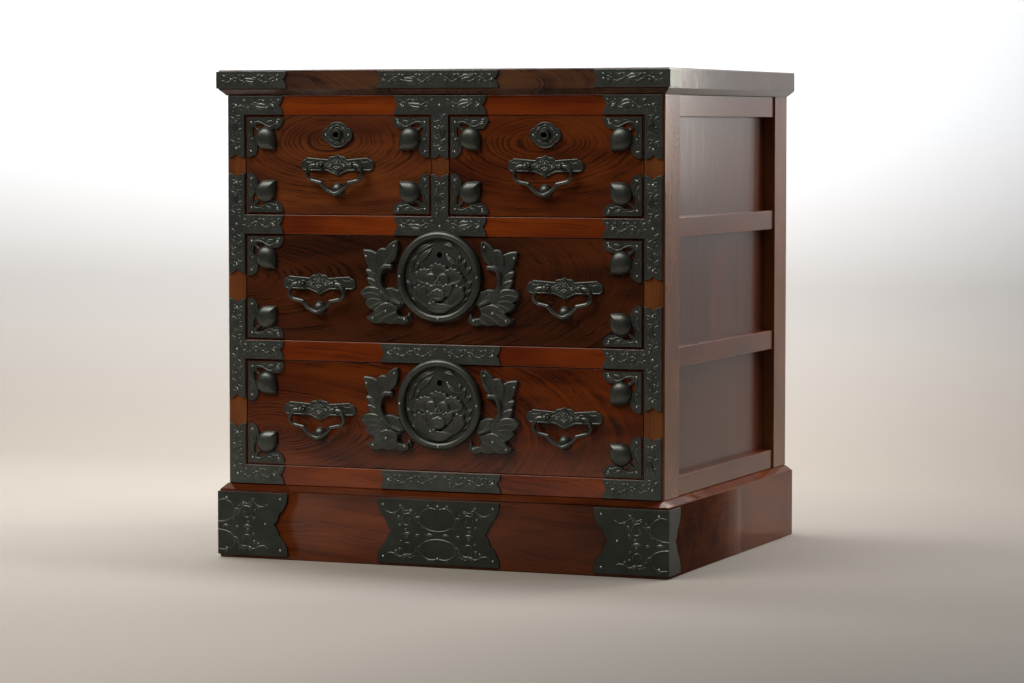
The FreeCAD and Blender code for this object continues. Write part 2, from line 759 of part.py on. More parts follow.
def leaf_strap(corner, across, up):
    """Return the outlines of a drawer strap: two leafy arms and a fruit between them.

    The strap grows from the corner in the directions across (X) and up (Z), each +1 or -1.
    """
    arm = float(size.leaf_arm)
    width = float(size.leaf_width)
    middle = float(size.fruit_centre)
    radius = float(size.fruit_radius)
    stem = 1.15

    def swapped(pairs):
        return [tuple((v, u) for u, v in step) for step in pairs]

    def on_fruit(degrees):
        angle = math.radians(degrees)
        return (middle + radius * math.cos(angle), middle + radius * math.sin(angle))

    join = -math.degrees(math.asin((middle - width) / radius))
    low_join = on_fruit(join)
    edge = middle + radius
    to_tip = fruit_side(middle, radius)
    first_half = [((arm - 2.0, 0),),
                  ((arm + 0.2, 2.0), (arm - 0.4, 5.5)),
                  ((arm - 3.6, width - 2.4), (arm - 9.0, width)),
                  (low_join,),
                  (on_fruit(join / 2), (edge, middle))] + to_tip
    second_half = swapped([(to_tip[0][0], (edge, middle)),
                           (on_fruit(join / 2), low_join),
                           ((arm - 9.0, width),),
                           ((arm - 3.6, width - 2.4), (arm - 0.4, 5.5)),
                           ((arm + 0.2, 2.0), (arm - 2.0, 0)),
                           ((0, 0),)])
    outline = laid(corner, across, up, (0, 0), first_half + second_half)

    near = middle - math.sqrt(radius * radius / 2 - stem * stem)
    root = (near + stem, near - stem)
    vine = width - 5.0
    neck = middle - 1.8
    low = middle - math.sqrt(radius * radius - 1.8 * 1.8)
    between = middle - 5.3
    bow = middle - math.sqrt(radius * radius - 5.3 * 5.3)
    hole = [((middle - 8.7, vine - 0.8), (neck, vine + 1.0)),
            ((neck, low),),
            ((between, bow), root),
            ((vine + 2 * stem, vine),)]
    holes = []
    for steps in (hole, swapped(hole)):
        holes += laid(corner, across, up, steps[-1][-1], steps)
    return outline + holes


def make_corner_straps(name, x, z):
    """The four straps on the corners of one drawer front, each with its domed fruit."""
    body = new_body(name, 0, drawer_y, 0)
    corners = [(x[0], z[0], 1, 1), (x[0], z[1], 1, -1), (x[1], z[0], -1, 1), (x[1], z[1], -1, -1)]
    outlines = []
    for corner_x, corner_z, across, up in corners:
        corner = point(corner_x + size.corner_inset * across, corner_z + size.corner_inset * up)
        outlines += leaf_strap(corner, across, up)
    add_pad(body, "XZ_Plane", outlines, size.drawer_iron)
    for corner_x, corner_z, across, up in corners:
        corner = point(corner_x + size.corner_inset * across, corner_z + size.corner_inset * up)
        add_fruit(body, corner, across, up)
    publish(body, name)


def add_fruit(body, corner, across, up):
    """Loft a puffed fruit out of a drawer strap, through sections that shrink as they rise."""
    foot = size.drawer_iron / 2
    rise = size.drawer_iron - foot + size.fruit_height
    sections = []
    for degrees in (0, 28, 54, 75, 87):
        angle = math.radians(degrees)
        share = 0.985 * math.cos(angle) ** 0.8
        sections.append(add_sketch(body, "XZ_Plane", fruit_section(corner, across, up, share),
                                   foot + rise * math.sin(angle) ** 0.8))
    loft = body.newObject("PartDesign::AdditiveLoft", body.Name + "_fruit")
    loft.Profile = sections[0]
    loft.Sections = sections[1:]


def make_escutcheon(name, x, z):
    """A four-lobed key plate with the hollow boss that guides the key."""
    half = float(size.escutcheon_half)
    body = new_body(name, x, drawer_y, z)
    cusp_x = 0.68 * half
    cusp_z = 0.42 * half
    top = 0.77 * half
    lobes = traced(point(-cusp_x, cusp_z), [
        (point(0, top), point(cusp_x, cusp_z)),
        (point(half, 0), point(cusp_x, -cusp_z)),
        (point(0, -top), point(-cusp_x, -cusp_z)),
        (point(-half, 0), point(-cusp_x, cusp_z))])
    add_pad(body, "XZ_Plane", lobes, size.drawer_iron)
    boss = body.newObject("PartDesign::AdditiveCone", name + "_boss")
    boss.AttachmentSupport = [(origin_plane(body, "XZ_Plane"), "")]
    boss.MapMode = "FlatFace"
    bind(boss, "Radius1", size.key_boss)
    bind(boss, "Radius2", size.key_tube)
    bind(boss, "Height", size.tube_reach)
    add_pocket(body, "XZ_Plane", [circle(0, 0, size.key_radius)], size.tube_reach * 2,
               backwards=True)
    publish(body, name)


def make_lock_plate(name, z):
    """The round lock plate: a turned dish with a half-round rim, drilled for the key.

    Its upper edge passes in front of the rail, so the back is rebated there.
    """
    radius = size.disc_radius
    inner = radius - size.rim_width
    body = new_body(name, 0, drawer_y, z)
    profile = traced(point(0, 0), [
        (point(radius, 0),),
        (point(radius, -size.field_edge),),
        (point(radius - size.rim_width / 2, -size.rim_height), point(inner, -size.field_edge)),
        (point(inner / 2, -(size.field_middle * 3 + size.field_edge) / 4),
         point(0, -size.field_middle)),
        (point(0, 0),)])
    add_revolution(body, profile)
    through = size.rim_height * 2
    add_pocket(body, "XZ_Plane", [circle(0, size.disc_drop, size.key_radius)], through,
               backwards=True)
    foot = size.disc_drop + size.wide_key_drop - size.drawer_gap - size.clearance
    depth = size.drawer_setback + size.iron + size.clearance
    add_pocket(body, "XZ_Plane", rectangle((-radius, radius), (foot, radius * 1.2)), depth,
               backwards=True)
    publish(body, name)


def make_foliage(name, z):
    """Openwork foliage on both sides of a lock plate, its stalk ending at the rim."""
    reach = size.disc_radius + size.seat_gap

    def on_rim(degrees):
        angle = math.radians(degrees)
        return (float(reach) * math.cos(angle), float(reach) * math.sin(angle))

    tip = (-53.6, 40.4)
    leaves = [((-60.2, 37.2), (-66.4, 31.1)),
              ((-72.4, 31.2), (-77.5, 26.3)),
              ((-84.7, 29.0), (-94.3, 29.4)),
              ((-91.9, 19.6), (-87.1, 9.0)),
              ((-91.0, 7.1),),
              ((-89.8, 3.2), (-87.4, 0.3)),
              ((-89.4, -2.4),),
              ((-88.0, -7.0), (-86.0, -11.6)),
              ((-92.2, -13.6), (-97.7, -18.4)),
              ((-94.2, -23.8), (-89.4, -27.6)),
              ((-91.8, -29.8),),
              ((-87.2, -35.8), (-80.8, -39.0)),
              ((-84.4, -44.0), (-89.8, -46.4)),
              ((-80.8, -53.6), (-68.3, -52.2)),
              ((-60.0, -54.4), (-51.9, -52.4)),
              ((-45.2, -54.8), (-38.4, -52.4)),
              ((-34.4, -46.4), (-37.9, -40.5)),
              ((-44.6, -45.6), (-50.6, -41.0)),
              ((-50.2, -37.2), (-46.5, -33.4)),
              (on_rim(214.0),),
              (on_rim(206.0), on_rim(198.0)),
              ((-53.5, -14.6),),
              ((-60.0, -12.8), (-66.4, -13.8)),
              ((-69.9, -3.4), (-67.6, 5.4)),
              ((-63.2, 7.4), (-58.8, 7.2)),
              ((-56.3, 10.4), (-59.2, 14.2)),
              ((-53.4, 19.6), (-50.7, 28.2)),
              ((-49.6, 34.2), (-50.4, 40.2)),
              (tip,)]
    body = new_body(name, 0, drawer_y, z)
    outlines = []
    for side in (1, -1):
        outlines += traced(point(side * tip[0], tip[1]),
                           [tuple(point(side * x, y) for x, y in step) for step in leaves])
    add_pad(body, "XZ_Plane", outlines, size.foliage)
    publish(body, name)


# ---------------------------------------------------------------------------------------
# Handles
# ---------------------------------------------------------------------------------------
def make_bail_plate(name, x, z):
    """The winged back plate with a raised flower boss and its two post holes."""
    half = float(size.plate_half)
    body = new_body(name, x, drawer_y, z)
    peak = (0, 0.282 * half)
    right = [((0.066 * half, 0.238 * half), (0.137 * half, 0.222 * half)),
             ((0.205 * half, 0.208 * half), (0.262 * half, 0.150 * half)),
             ((0.830 * half, 0.194 * half),),
             ((0.850 * half, 0.178 * half), (0.874 * half, 0.152 * half)),
             ((0.957 * half, 0.106 * half), (half, 0.008 * half)),
             ((0.962 * half, -0.098 * half), (0.885 * half, -0.140 * half)),
             ((0.285 * half, -0.147 * half),),
             ((0.148 * half, -0.205 * half), (0, -0.283 * half))]
    left = []
    ends = [peak] + [step[-1] for step in right]
    for step, end in zip(reversed(right), reversed(ends[:-1])):
        mirrored = [(-u, v) for u, v in step[:-1]] + [(-end[0], end[1])]
        left.append(tuple(mirrored))
    outline = traced(point(*peak),
                     [tuple(point(u, v) for u, v in step) for step in right + left])
    bore = size.shank_radius + size.shank_gap
    holes = [circle(size.post_offset, 0, bore), circle(-size.post_offset, 0, bore)]
    add_pad(body, "XZ_Plane", outline + holes, size.bail_plate)
    wide = 0.325 * half
    tall = 0.210 * half
    lozenge = traced(point(0, tall), [
        (point(wide * 0.36, tall * 0.50), point(wide, 0)),
        (point(wide * 0.36, -tall * 0.58), point(0, -tall)),
        (point(-wide * 0.36, -tall * 0.58), point(-wide, 0)),
        (point(-wide * 0.36, tall * 0.50), point(0, tall))])
    add_pad(body, "XZ_Plane", lozenge, size.bail_plate + size.flower)
    return body


def make_eye_post(name, x, z):
    """A turned post: shank through the drawer front, neck, and a ball drilled for the bail."""
    ball = float(size.ball_radius)
    neck = float(size.neck_radius)
    seat = size.pivot_reach - size.bail_plate
    end = size.pivot_reach + size.front_board + size.clench
    shoulder = math.sqrt(ball * ball - neck * neck)
    body = new_body(name, x, drawer_y - size.pivot_reach, z)
    profile = traced(point(0, -ball), [
        (point(ball * math.cos(math.pi / 8), -ball * math.sin(math.pi / 8)), point(neck, shoulder)),
        (point(neck, seat),),
        (point(size.shank_radius, seat),),
        (point(size.shank_radius, end),),
        (point(0, end),),
        (point(0, -ball),)])
    add_revolution(body, profile)
    eye = size.pin_radius + size.pin_gap
    doc.recompute()
    before = body.Shape.Volume
    bore = body.newObject("PartDesign::Pocket", name + "_eye")
    bore.Profile = add_sketch(body, "YZ_Plane", [circle(0, 0, eye)])
    bore.Midplane = True
    bind(bore, "Length", size.ball_radius * 3)
    doc.recompute()
    if body.Shape.Volume >= before:
        raise RuntimeError("%s has no eye" % name)
    return body


def make_striker(name, x, z):
    """The domed button that the bail's tip rests on, with its shank."""
    rise = size.pivot_reach - size.bail_radius - size.seat_gap
    end = size.front_board + size.clench
    body = new_body(name, x, drawer_y, z)
    profile = traced(point(0, -rise), [
        (point(size.striker_radius * 0.68, -rise * 0.74), point(size.striker_radius, 0)),
        (point(size.shank_radius, 0),),
        (point(size.shank_radius, end),),
        (point(0, end),),
        (point(0, -rise),)])
    add_revolution(body, profile)
    return body


def make_handle_plates(name, places):
    """Back plate, posts and striker of each handle on one drawer."""
    pieces = []
    for number, (x, z) in enumerate(places):
        word = "%s_%d" % (name, number)
        pieces.append(make_bail_plate(word + "_plate", x, z))
        for side in (-1, 1):
            pieces.append(make_eye_post("%s_post_%d" % (word, side + 1),
                                        x + size.post_offset * side, z))
        pieces.append(make_striker(word + "_striker", x, z - size.striker_drop))
    publish(group(name, pieces), name)


def make_bail(name, x, z):
    """The cusped bail: two eared arms and a bracket-shaped grip between their cusps."""
    start = size.post_offset + size.ball_radius + size.seat_gap
    straight_end = size.bail_half - size.ear_top
    turn = math.radians(float(size.shoulder_turn))
    ear_top = float(size.ear_top)
    ear_low = float(size.ear_low)
    half = float(size.bail_half)
    low_middle = (half - ear_low, -ear_top - float(size.ear_straight))
    low_end = (low_middle[0] + ear_low * math.cos(turn), low_middle[1] - ear_low * math.sin(turn))
    cusp_x = float(size.cusp_half)
    cusp_z = low_end[1] - (low_end[0] - cusp_x) / math.tan(turn)
    drop = float(size.bail_drop)
    chord = Vector(cusp_x, cusp_z + drop, 0)
    outward = Vector(chord.y, -chord.x, 0).normalize() * float(size.grip_bulge)
    bow_point = (chord.x / 2 + outward.x, chord.y / 2 - drop + outward.y)

    body = new_body(name, x, drawer_y - size.pivot_reach, z)
    for side in (-1, 1):
        def at(u, v, side=side):
            return point(side * float(u), v)
        arm = traced(at(start, 0), [
            (at(straight_end, 0),),
            (at(half - ear_top * (1 - math.sqrt(0.5)), -ear_top * (1 - math.sqrt(0.5))),
             at(half, -ear_top)),
            (at(half, low_middle[1]),),
            (at(low_middle[0] + ear_low * math.cos(turn / 2),
                low_middle[1] - ear_low * math.sin(turn / 2)), at(*low_end)),
            (at(cusp_x, cusp_z),)])
        add_pipe(body, arm, side * start)
        add_pipe(body, traced(at(0, -drop), [(at(*bow_point), at(cusp_x, cusp_z))]), 0, -drop)
    for side in (-1, 1):
        ball = body.newObject("PartDesign::AdditiveSphere", name + "_cusp")
        ball.AttachmentSupport = [(origin_plane(body, "YZ_Plane"), "")]
        ball.MapMode = "FlatFace"
        ball.AttachmentOffset = FreeCAD.Placement(Vector(0, cusp_z, side * cusp_x),
                                                  FreeCAD.Rotation())
        bind(ball, "Radius", size.bail_radius)
        pin = size.ball_radius * 2 + size.seat_gap * 3
        add_pad(body, "YZ_Plane", [circle(0, 0, size.pin_radius)], pin,
                offset=side * (start + size.seat_gap), backwards=side > 0)
    publish(body, name)


def add_pipe(body, path, x, z=0.0):
    """Sweep the bail's round section along a path that starts at x and z."""
    spine = add_sketch(body, "XZ_Plane", path)
    profile = add_sketch(body, "YZ_Plane", [circle(0, z, size.bail_radius)], x)
    pipe = body.newObject("PartDesign::AdditivePipe", body.Name + "_pipe")
    pipe.Profile = profile
    pipe.Spine = (spine, ["Edge%d" % (i + 1) for i in range(len(path))])


# ---------------------------------------------------------------------------------------
# Drawers
# ---------------------------------------------------------------------------------------
bolt_middle_y = drawer_inside_y + size.lock_depth / 2
bolt_y = (bolt_middle_y - size.bolt_thick / 2, bolt_middle_y + size.bolt_thick / 2)


def make_lock(name, x, key_z, front_top):
    """A lock case behind the front and the bolt that it guides upward."""
    top = front_top - size.lock_drop
    half = size.lock_width / 2
    wall = size.lock_wall
    depth = (drawer_inside_y, drawer_inside_y + size.lock_depth)
    outer = board(name + "_shell", (x - half, x + half), depth, (top - size.lock_height, top))
    hollow = board(name + "_hollow", (x - half + wall, x + half - wall),
                   (depth[0] + wall, depth[1] - wall), (top - size.lock_height + wall, top - wall))
    slot_half = size.bolt_width / 2 + size.bolt_gap
    slot = board(name + "_slot", (x - slot_half, x + slot_half),
                 (bolt_y[0] - size.bolt_gap, bolt_y[1] + size.bolt_gap), (top - wall * 2, top + wall))
    key = rod_to_front(name + "_keyway", x, depth[0] + wall * 2, key_z, size.key_radius, wall * 3)
    publish(cut(name + "_lock_case", outer, [hollow, slot, key]), name + "_lock_case")
    bolt_half = size.bolt_width / 2
    publish(board(name + "_lock_bolt", (x - bolt_half, x + bolt_half), bolt_y,
                  (front_top - size.bolt_length, front_top)), name + "_lock_bolt")


def make_drawer(name, opening_x, bay, key_drop, handles):
    """A drawer with its front, box, corner straps, lock and handle plates."""
    x = (opening_x[0] + size.drawer_gap, opening_x[1] - size.drawer_gap)
    z = (bay[0] + size.drawer_gap, bay[1] - size.drawer_gap)
    middle = (x[0] + x[1]) / 2
    key_z = bay[1] - key_drop

    through = size.front_board * 1.5
    behind = drawer_inside_y + size.front_board * 0.25
    holes = [rod_to_front(name + "_keyhole", middle, behind, key_z, size.key_radius, through)]
    bore = size.shank_radius + size.shank_gap
    for number, (handle_x, handle_z) in enumerate(handles):
        spots = [(handle_x - size.post_offset, handle_z), (handle_x + size.post_offset, handle_z),
                 (handle_x, handle_z - size.striker_drop)]
        for spot, (hole_x, hole_z) in enumerate(spots):
            holes.append(rod_to_front("%s_hole_%d_%d" % (name, number, spot), hole_x, behind,
                                      hole_z, bore, through))
    blank = board(name + "_blank", x, (drawer_y, drawer_inside_y), z)
    publish(cut(name + "_front", blank, holes), name + "_front")

    side = size.drawer_side
    side_z = (bay[0] + size.slide_gap, z[1] - size.side_drop)
    floor_z = side_z[0] + size.floor_rise
    inner_x = (x[0] + side, x[1] - side)
    back = (drawer_back_y - side, drawer_back_y)
    box = [board(name + "_side_left", (x[0], inner_x[0]), (drawer_inside_y, drawer_back_y), side_z),
           board(name + "_side_right", (inner_x[1], x[1]), (drawer_inside_y, drawer_back_y), side_z),
           board(name + "_back", inner_x, back, side_z),
           board(name + "_floor", inner_x, (drawer_inside_y, back[0]),
                 (floor_z, floor_z + size.drawer_floor))]
    publish(group(name + "_box", box), name + "_box")
    make_corner_straps(name + "_corner_straps", x, z)
    make_lock(name, middle, key_z, z[1])
    make_handle_plates(name + "_handle_plates", handles)
    return middle, key_z


def make_drawers():
    """The two small drawers and the two wide ones."""
    small_middle = (half_divider + bay_edge) / 2
    small_z = (small_bay[0] + small_bay[1]) / 2
    for side, word in ((-1, "left"), (1, "right")):
        name = word + "_drawer"
        opening = ordered((side * half_divider, side * bay_edge))
        handle = (side * small_middle, small_z)
        middle, key_z = make_drawer(name, opening, small_bay, size.key_drop, [handle])
        make_escutcheon(name + "_escutcheon", middle, key_z)
        make_bail(name + "_bail", *handle)
    for word, bay in (("upper_wide", upper_bay), ("lower_wide", lower_bay)):
        name = word + "_drawer"
        handle_z = (bay[0] + bay[1]) / 2 + size.wide_rise
        handles = [(-size.handle_offset, handle_z), (size.handle_offset, handle_z)]
        _, key_z = make_drawer(name, (-bay_edge, bay_edge), bay, size.wide_key_drop, handles)
        make_lock_plate(name + "_lock_plate", key_z - size.disc_drop)
        make_foliage(name + "_foliage", key_z - size.disc_drop)
        for side, handle in zip(("left", "right"), handles):
            make_bail("%s_bail_%s" % (name, side), *handle)


# ---------------------------------------------------------------------------------------
# Build, check and write
# ---------------------------------------------------------------------------------------
def check_document():
    """Stop if any object failed or any sub-part's shape is empty or broken."""
    for thing in doc.Objects:
        if "Invalid" in thing.State or "Error" in thing.State:
            raise RuntimeError("%s failed: %s" % (thing.Name, thing.State))
    for thing in subparts:
        if thing.Shape.isNull() or not thing.Shape.isValid() or not thing.Shape.Solids:
            raise RuntimeError("%s has no valid shape" % thing.Label)


make_plinth()
for sign, hand in ((-1, "left"), (1, "right")):
    make_uprights(sign, hand)
    make_side(sign, hand)
make_case_frame()
make_drawer_guides()
make_back()
make_top_board()
make_case_straps()
make_edge_plates()
make_drawers()
doc.recompute()
check_document()

os.makedirs("parts", exist_ok=True)
for thing in subparts:
    thing.Shape.exportStep("parts/%s.step" % thing.Label)
print("%d sub-parts written" % len(subparts))
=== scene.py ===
"""Looks of a small tansu chest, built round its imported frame.

A framed case of lacquered keyaki stands on a plinth, with two small drawers over two wide ones.
Blackened iron straps, lock plates and bails carry chased vines, a peony and leaves. Every length
in the classes is in millimetres in the frame's own axes: +X to the right of someone who faces
the drawers, +Y to the back, +Z up. Meshes are written in metres.
"""
from __future__ import annotations

import logging
import math
from dataclasses import dataclass, field
from enum import Enum
from typing import Any, Callable, Iterable, Sequence

import bmesh
import bpy
import numpy as np
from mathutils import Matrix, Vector


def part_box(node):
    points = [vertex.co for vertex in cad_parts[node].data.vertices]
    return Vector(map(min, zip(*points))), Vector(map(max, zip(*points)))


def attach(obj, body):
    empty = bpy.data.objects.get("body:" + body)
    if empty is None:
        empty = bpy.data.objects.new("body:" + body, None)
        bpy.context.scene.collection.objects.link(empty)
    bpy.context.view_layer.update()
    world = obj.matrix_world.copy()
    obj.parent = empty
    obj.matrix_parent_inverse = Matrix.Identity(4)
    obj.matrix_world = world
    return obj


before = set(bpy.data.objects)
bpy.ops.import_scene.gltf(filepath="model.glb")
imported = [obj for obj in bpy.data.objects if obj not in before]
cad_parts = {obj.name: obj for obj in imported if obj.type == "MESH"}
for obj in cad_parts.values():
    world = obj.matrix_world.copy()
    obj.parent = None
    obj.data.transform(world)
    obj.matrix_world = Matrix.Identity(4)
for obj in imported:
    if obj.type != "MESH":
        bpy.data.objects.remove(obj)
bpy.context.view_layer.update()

log = logging.getLogger("tansu")
MM = 0.001
SMALL_BAY = (395.1, 508.3)          # lower and upper edge of each drawer's opening
UPPER_BAY = (251.5, 372.7)
LOWER_BAY = (107.9, 229.1)
LEFT_OPENING = (-242.5, -10.3)      # left and right edge of it
RIGHT_OPENING = (10.3, 242.5)
WIDE_OPENING = (-242.5, 242.5)
CAMERA_SPOT_MM = (1517.15, -3757.5, 498.16)
CAMERA_TURN_DEG = (86.382, 0.0, 22.011)
LENS_MM = 120.89
SENSOR_MM = 36.0

Point = tuple[float, float]
Spot = tuple[float, float, float]


# ---------------------------------------------------------------------------------------
# Colour and node helpers
# ---------------------------------------------------------------------------------------
def linear(code: str) -> tuple[float, float, float, float]:
    """Turn an sRGB hex colour to a linear one.

    Args:
        code: the colour as #rrggbb.

    Returns:
        Linear red, green, blue and an alpha of one.
    """
    values = [int(code[i:i + 2], 16) / 255 for i in (1, 3, 5)]
    flat = [v / 12.92 if v <= 0.04045 else ((v + 0.055) / 1.055) ** 2.4 for v in values]
    return (flat[0], flat[1], flat[2], 1.0)


def add_node(tree: bpy.types.NodeTree, kind: str, settings: dict[str, Any] | None = None,
             inputs: dict[Any, Any] | None = None) -> bpy.types.Node:
    """Add a node with its settings, and link or set its inputs.

    Args:
        tree: the node tree that takes the node.
        kind: the node's type, such as ShaderNodeMath.
        settings: values for the node's own properties.
        inputs: a socket to link, or a value to set, for each input's name or number.

    Returns:
        The new node.
    """
    node = tree.nodes.new(kind)
    for key, value in (settings or {}).items():
        setattr(node, key, value)
    for key, value in (inputs or {}).items():
        if isinstance(value, bpy.types.NodeSocket):
            tree.links.new(value, node.inputs[key])
        else:
            node.inputs[key].default_value = value
    return node


def combine(tree: bpy.types.NodeTree, operation: str, *values: Any) -> bpy.types.NodeSocket:
    """Return the result of one sum on sockets or plain numbers."""
    node = add_node(tree, "ShaderNodeMath", {"operation": operation}, dict(enumerate(values)))
    return node.outputs[0]


def clamped(tree: bpy.types.NodeTree, value: Any, low: float = 0.0) -> bpy.types.NodeSocket:
    """Return a value kept between a lower bound and one."""
    return add_node(tree, "ShaderNodeClamp", None, {0: value, 1: low, 2: 1.0}).outputs[0]


def eased(tree: bpy.types.NodeTree, value: Any, start: float, end: float, first: float = 0.0,
          last: float = 1.0) -> bpy.types.NodeSocket:
    """Return a smooth step from a first to a last level, while the value goes start to end."""
    return add_node(tree, "ShaderNodeMapRange", {"interpolation_type": "SMOOTHSTEP"},
                    {0: value, 1: start, 2: end, 3: first, 4: last}).outputs[0]


def noise(tree: bpy.types.NodeTree, place: Any, scale: float,
          detail: float) -> bpy.types.NodeOutputs:
    """Return the outputs of a noise with so many blots to a unit."""
    return add_node(tree, "ShaderNodeTexNoise", None,
                    {"Vector": place, "Scale": scale, "Detail": detail}).outputs


def blend(tree: bpy.types.NodeTree, share: Any, first: Any, second: Any,
          way: str = "MIX") -> bpy.types.NodeSocket:
    """Return two colours mixed by a share of the second."""
    return add_node(tree, "ShaderNodeMix", {"data_type": "RGBA", "blend_type": way},
                    {0: share, 6: first, 7: second}).outputs[2]


def bump(tree: bpy.types.NodeTree, height: Any, strength: float, depth_mm: float,
         invert: bool = False) -> bpy.types.NodeSocket:
    """Return the normals of a fine texture that is so deep."""
    return add_node(tree, "ShaderNodeBump", {"invert": invert},
                    {"Strength": strength, "Distance": depth_mm * MM,
                     "Height": height}).outputs[0]


def place_on(tree: bpy.types.NodeTree) -> bpy.types.NodeSocket:
    """Return the place on the surface, in the object's own coordinates."""
    return add_node(tree, "ShaderNodeTexCoord").outputs["Object"]


def split(tree: bpy.types.NodeTree, place: Any, axes: Sequence[str]) -> list[Any]:
    """Return the place's parts along the axes, in their order."""
    parts = add_node(tree, "ShaderNodeSeparateXYZ", None, {0: place}).outputs
    return [parts[axis] for axis in axes]


def join(tree: bpy.types.NodeTree, *parts: Any) -> bpy.types.NodeSocket:
    """Return a place made of its three parts."""
    return add_node(tree, "ShaderNodeCombineXYZ", None, dict(enumerate(parts))).outputs[0]


def fresh_material(name: str) -> tuple[bpy.types.Material, bpy.types.NodeTree]:
    """Make a material to build from nothing.

    Args:
        name: its name.

    Returns:
        The material and its emptied node tree.
    """
    material = bpy.data.materials.new(name)
    material.use_nodes = True
    material.node_tree.nodes.clear()
    return material, material.node_tree


def finish_surface(tree: bpy.types.NodeTree, inputs: dict[Any, Any]) -> None:
    """Add the surface shader with its inputs and join it to the material's output."""
    surface = add_node(tree, "ShaderNodeBsdfPrincipled", None, inputs)
    add_node(tree, "ShaderNodeOutputMaterial", None, {"Surface": surface.outputs[0]})


class Along(Enum):
    """The frame axis that a board's grain follows, then the one across it and into it."""

    X = ("X", "Z", "Y")
    Y = ("Y", "Z", "X")
    Z = ("Z", "X", "Y")
    Z_SIDE = ("Z", "Y", "X")


# ---------------------------------------------------------------------------------------
# Finishes
# ---------------------------------------------------------------------------------------
WANDER_MM = (150.0, 60.0)     # length and width of the slow bends in the rings
RIPPLE_MM = (26.0, 9.0)       # of their small ripples
STREAKS_MM = (17.0, 0.8)      # of the fibres
FAINT_MM = (70.0, 16.0)       # of the places where the pore lines fade
PAINTED_LIGHT_MM = (130.0, 34.0)       # of the patches of painted light
PAINTED_LIGHT_GAIN = 2.4               # how sharply the patches of painted light part from the rest
STREAK_GAIN = 1.9             # how few of the fibres break a pore line
FAINT_GAIN, FAINT_FALL = 3.4, -1.1          # how sharply and how often the pore lines fade
FAINTEST = 0.4                # what is left of them there
RIPPLE_DEPTH_MM = 3.4         # how far the ripples move a ring
UNEVEN_PER_MM, UNEVEN_RINGS = 0.11, 5.0     # how fast and how far the rings' widths change
PORE_DEPTH_MM = 0.12          # how far the film could sink into a pore
FIBRES_PER_M = (12.0, 600.0)  # of bare cedar, along and across its grain
FILM_IOR = 1.55               # of polished lacquer
SCALE_MM = 0.9                # grain of the burnt scale on the iron
SCALE_HEIGHT = 0.18           # as a share of a hammer mark's
ROUGH_SPREAD = 0.16           # how much the scale changes the iron's roughness
WORN_GAIN = 1.6               # how sharply rubbed and black iron part
METAL_SHARE = 0.85            # the burnt lacquer veils the metal a little
RUBBED_MM = 22.0              # size of the places where the black is rubbed thin
# How dark a ring is, from its large early pores to its smooth late wood.
PORE_BAND = ((0.25, 0.7), (0.5, 0.3), (0.75, 0.1), (0.95, 0.35))


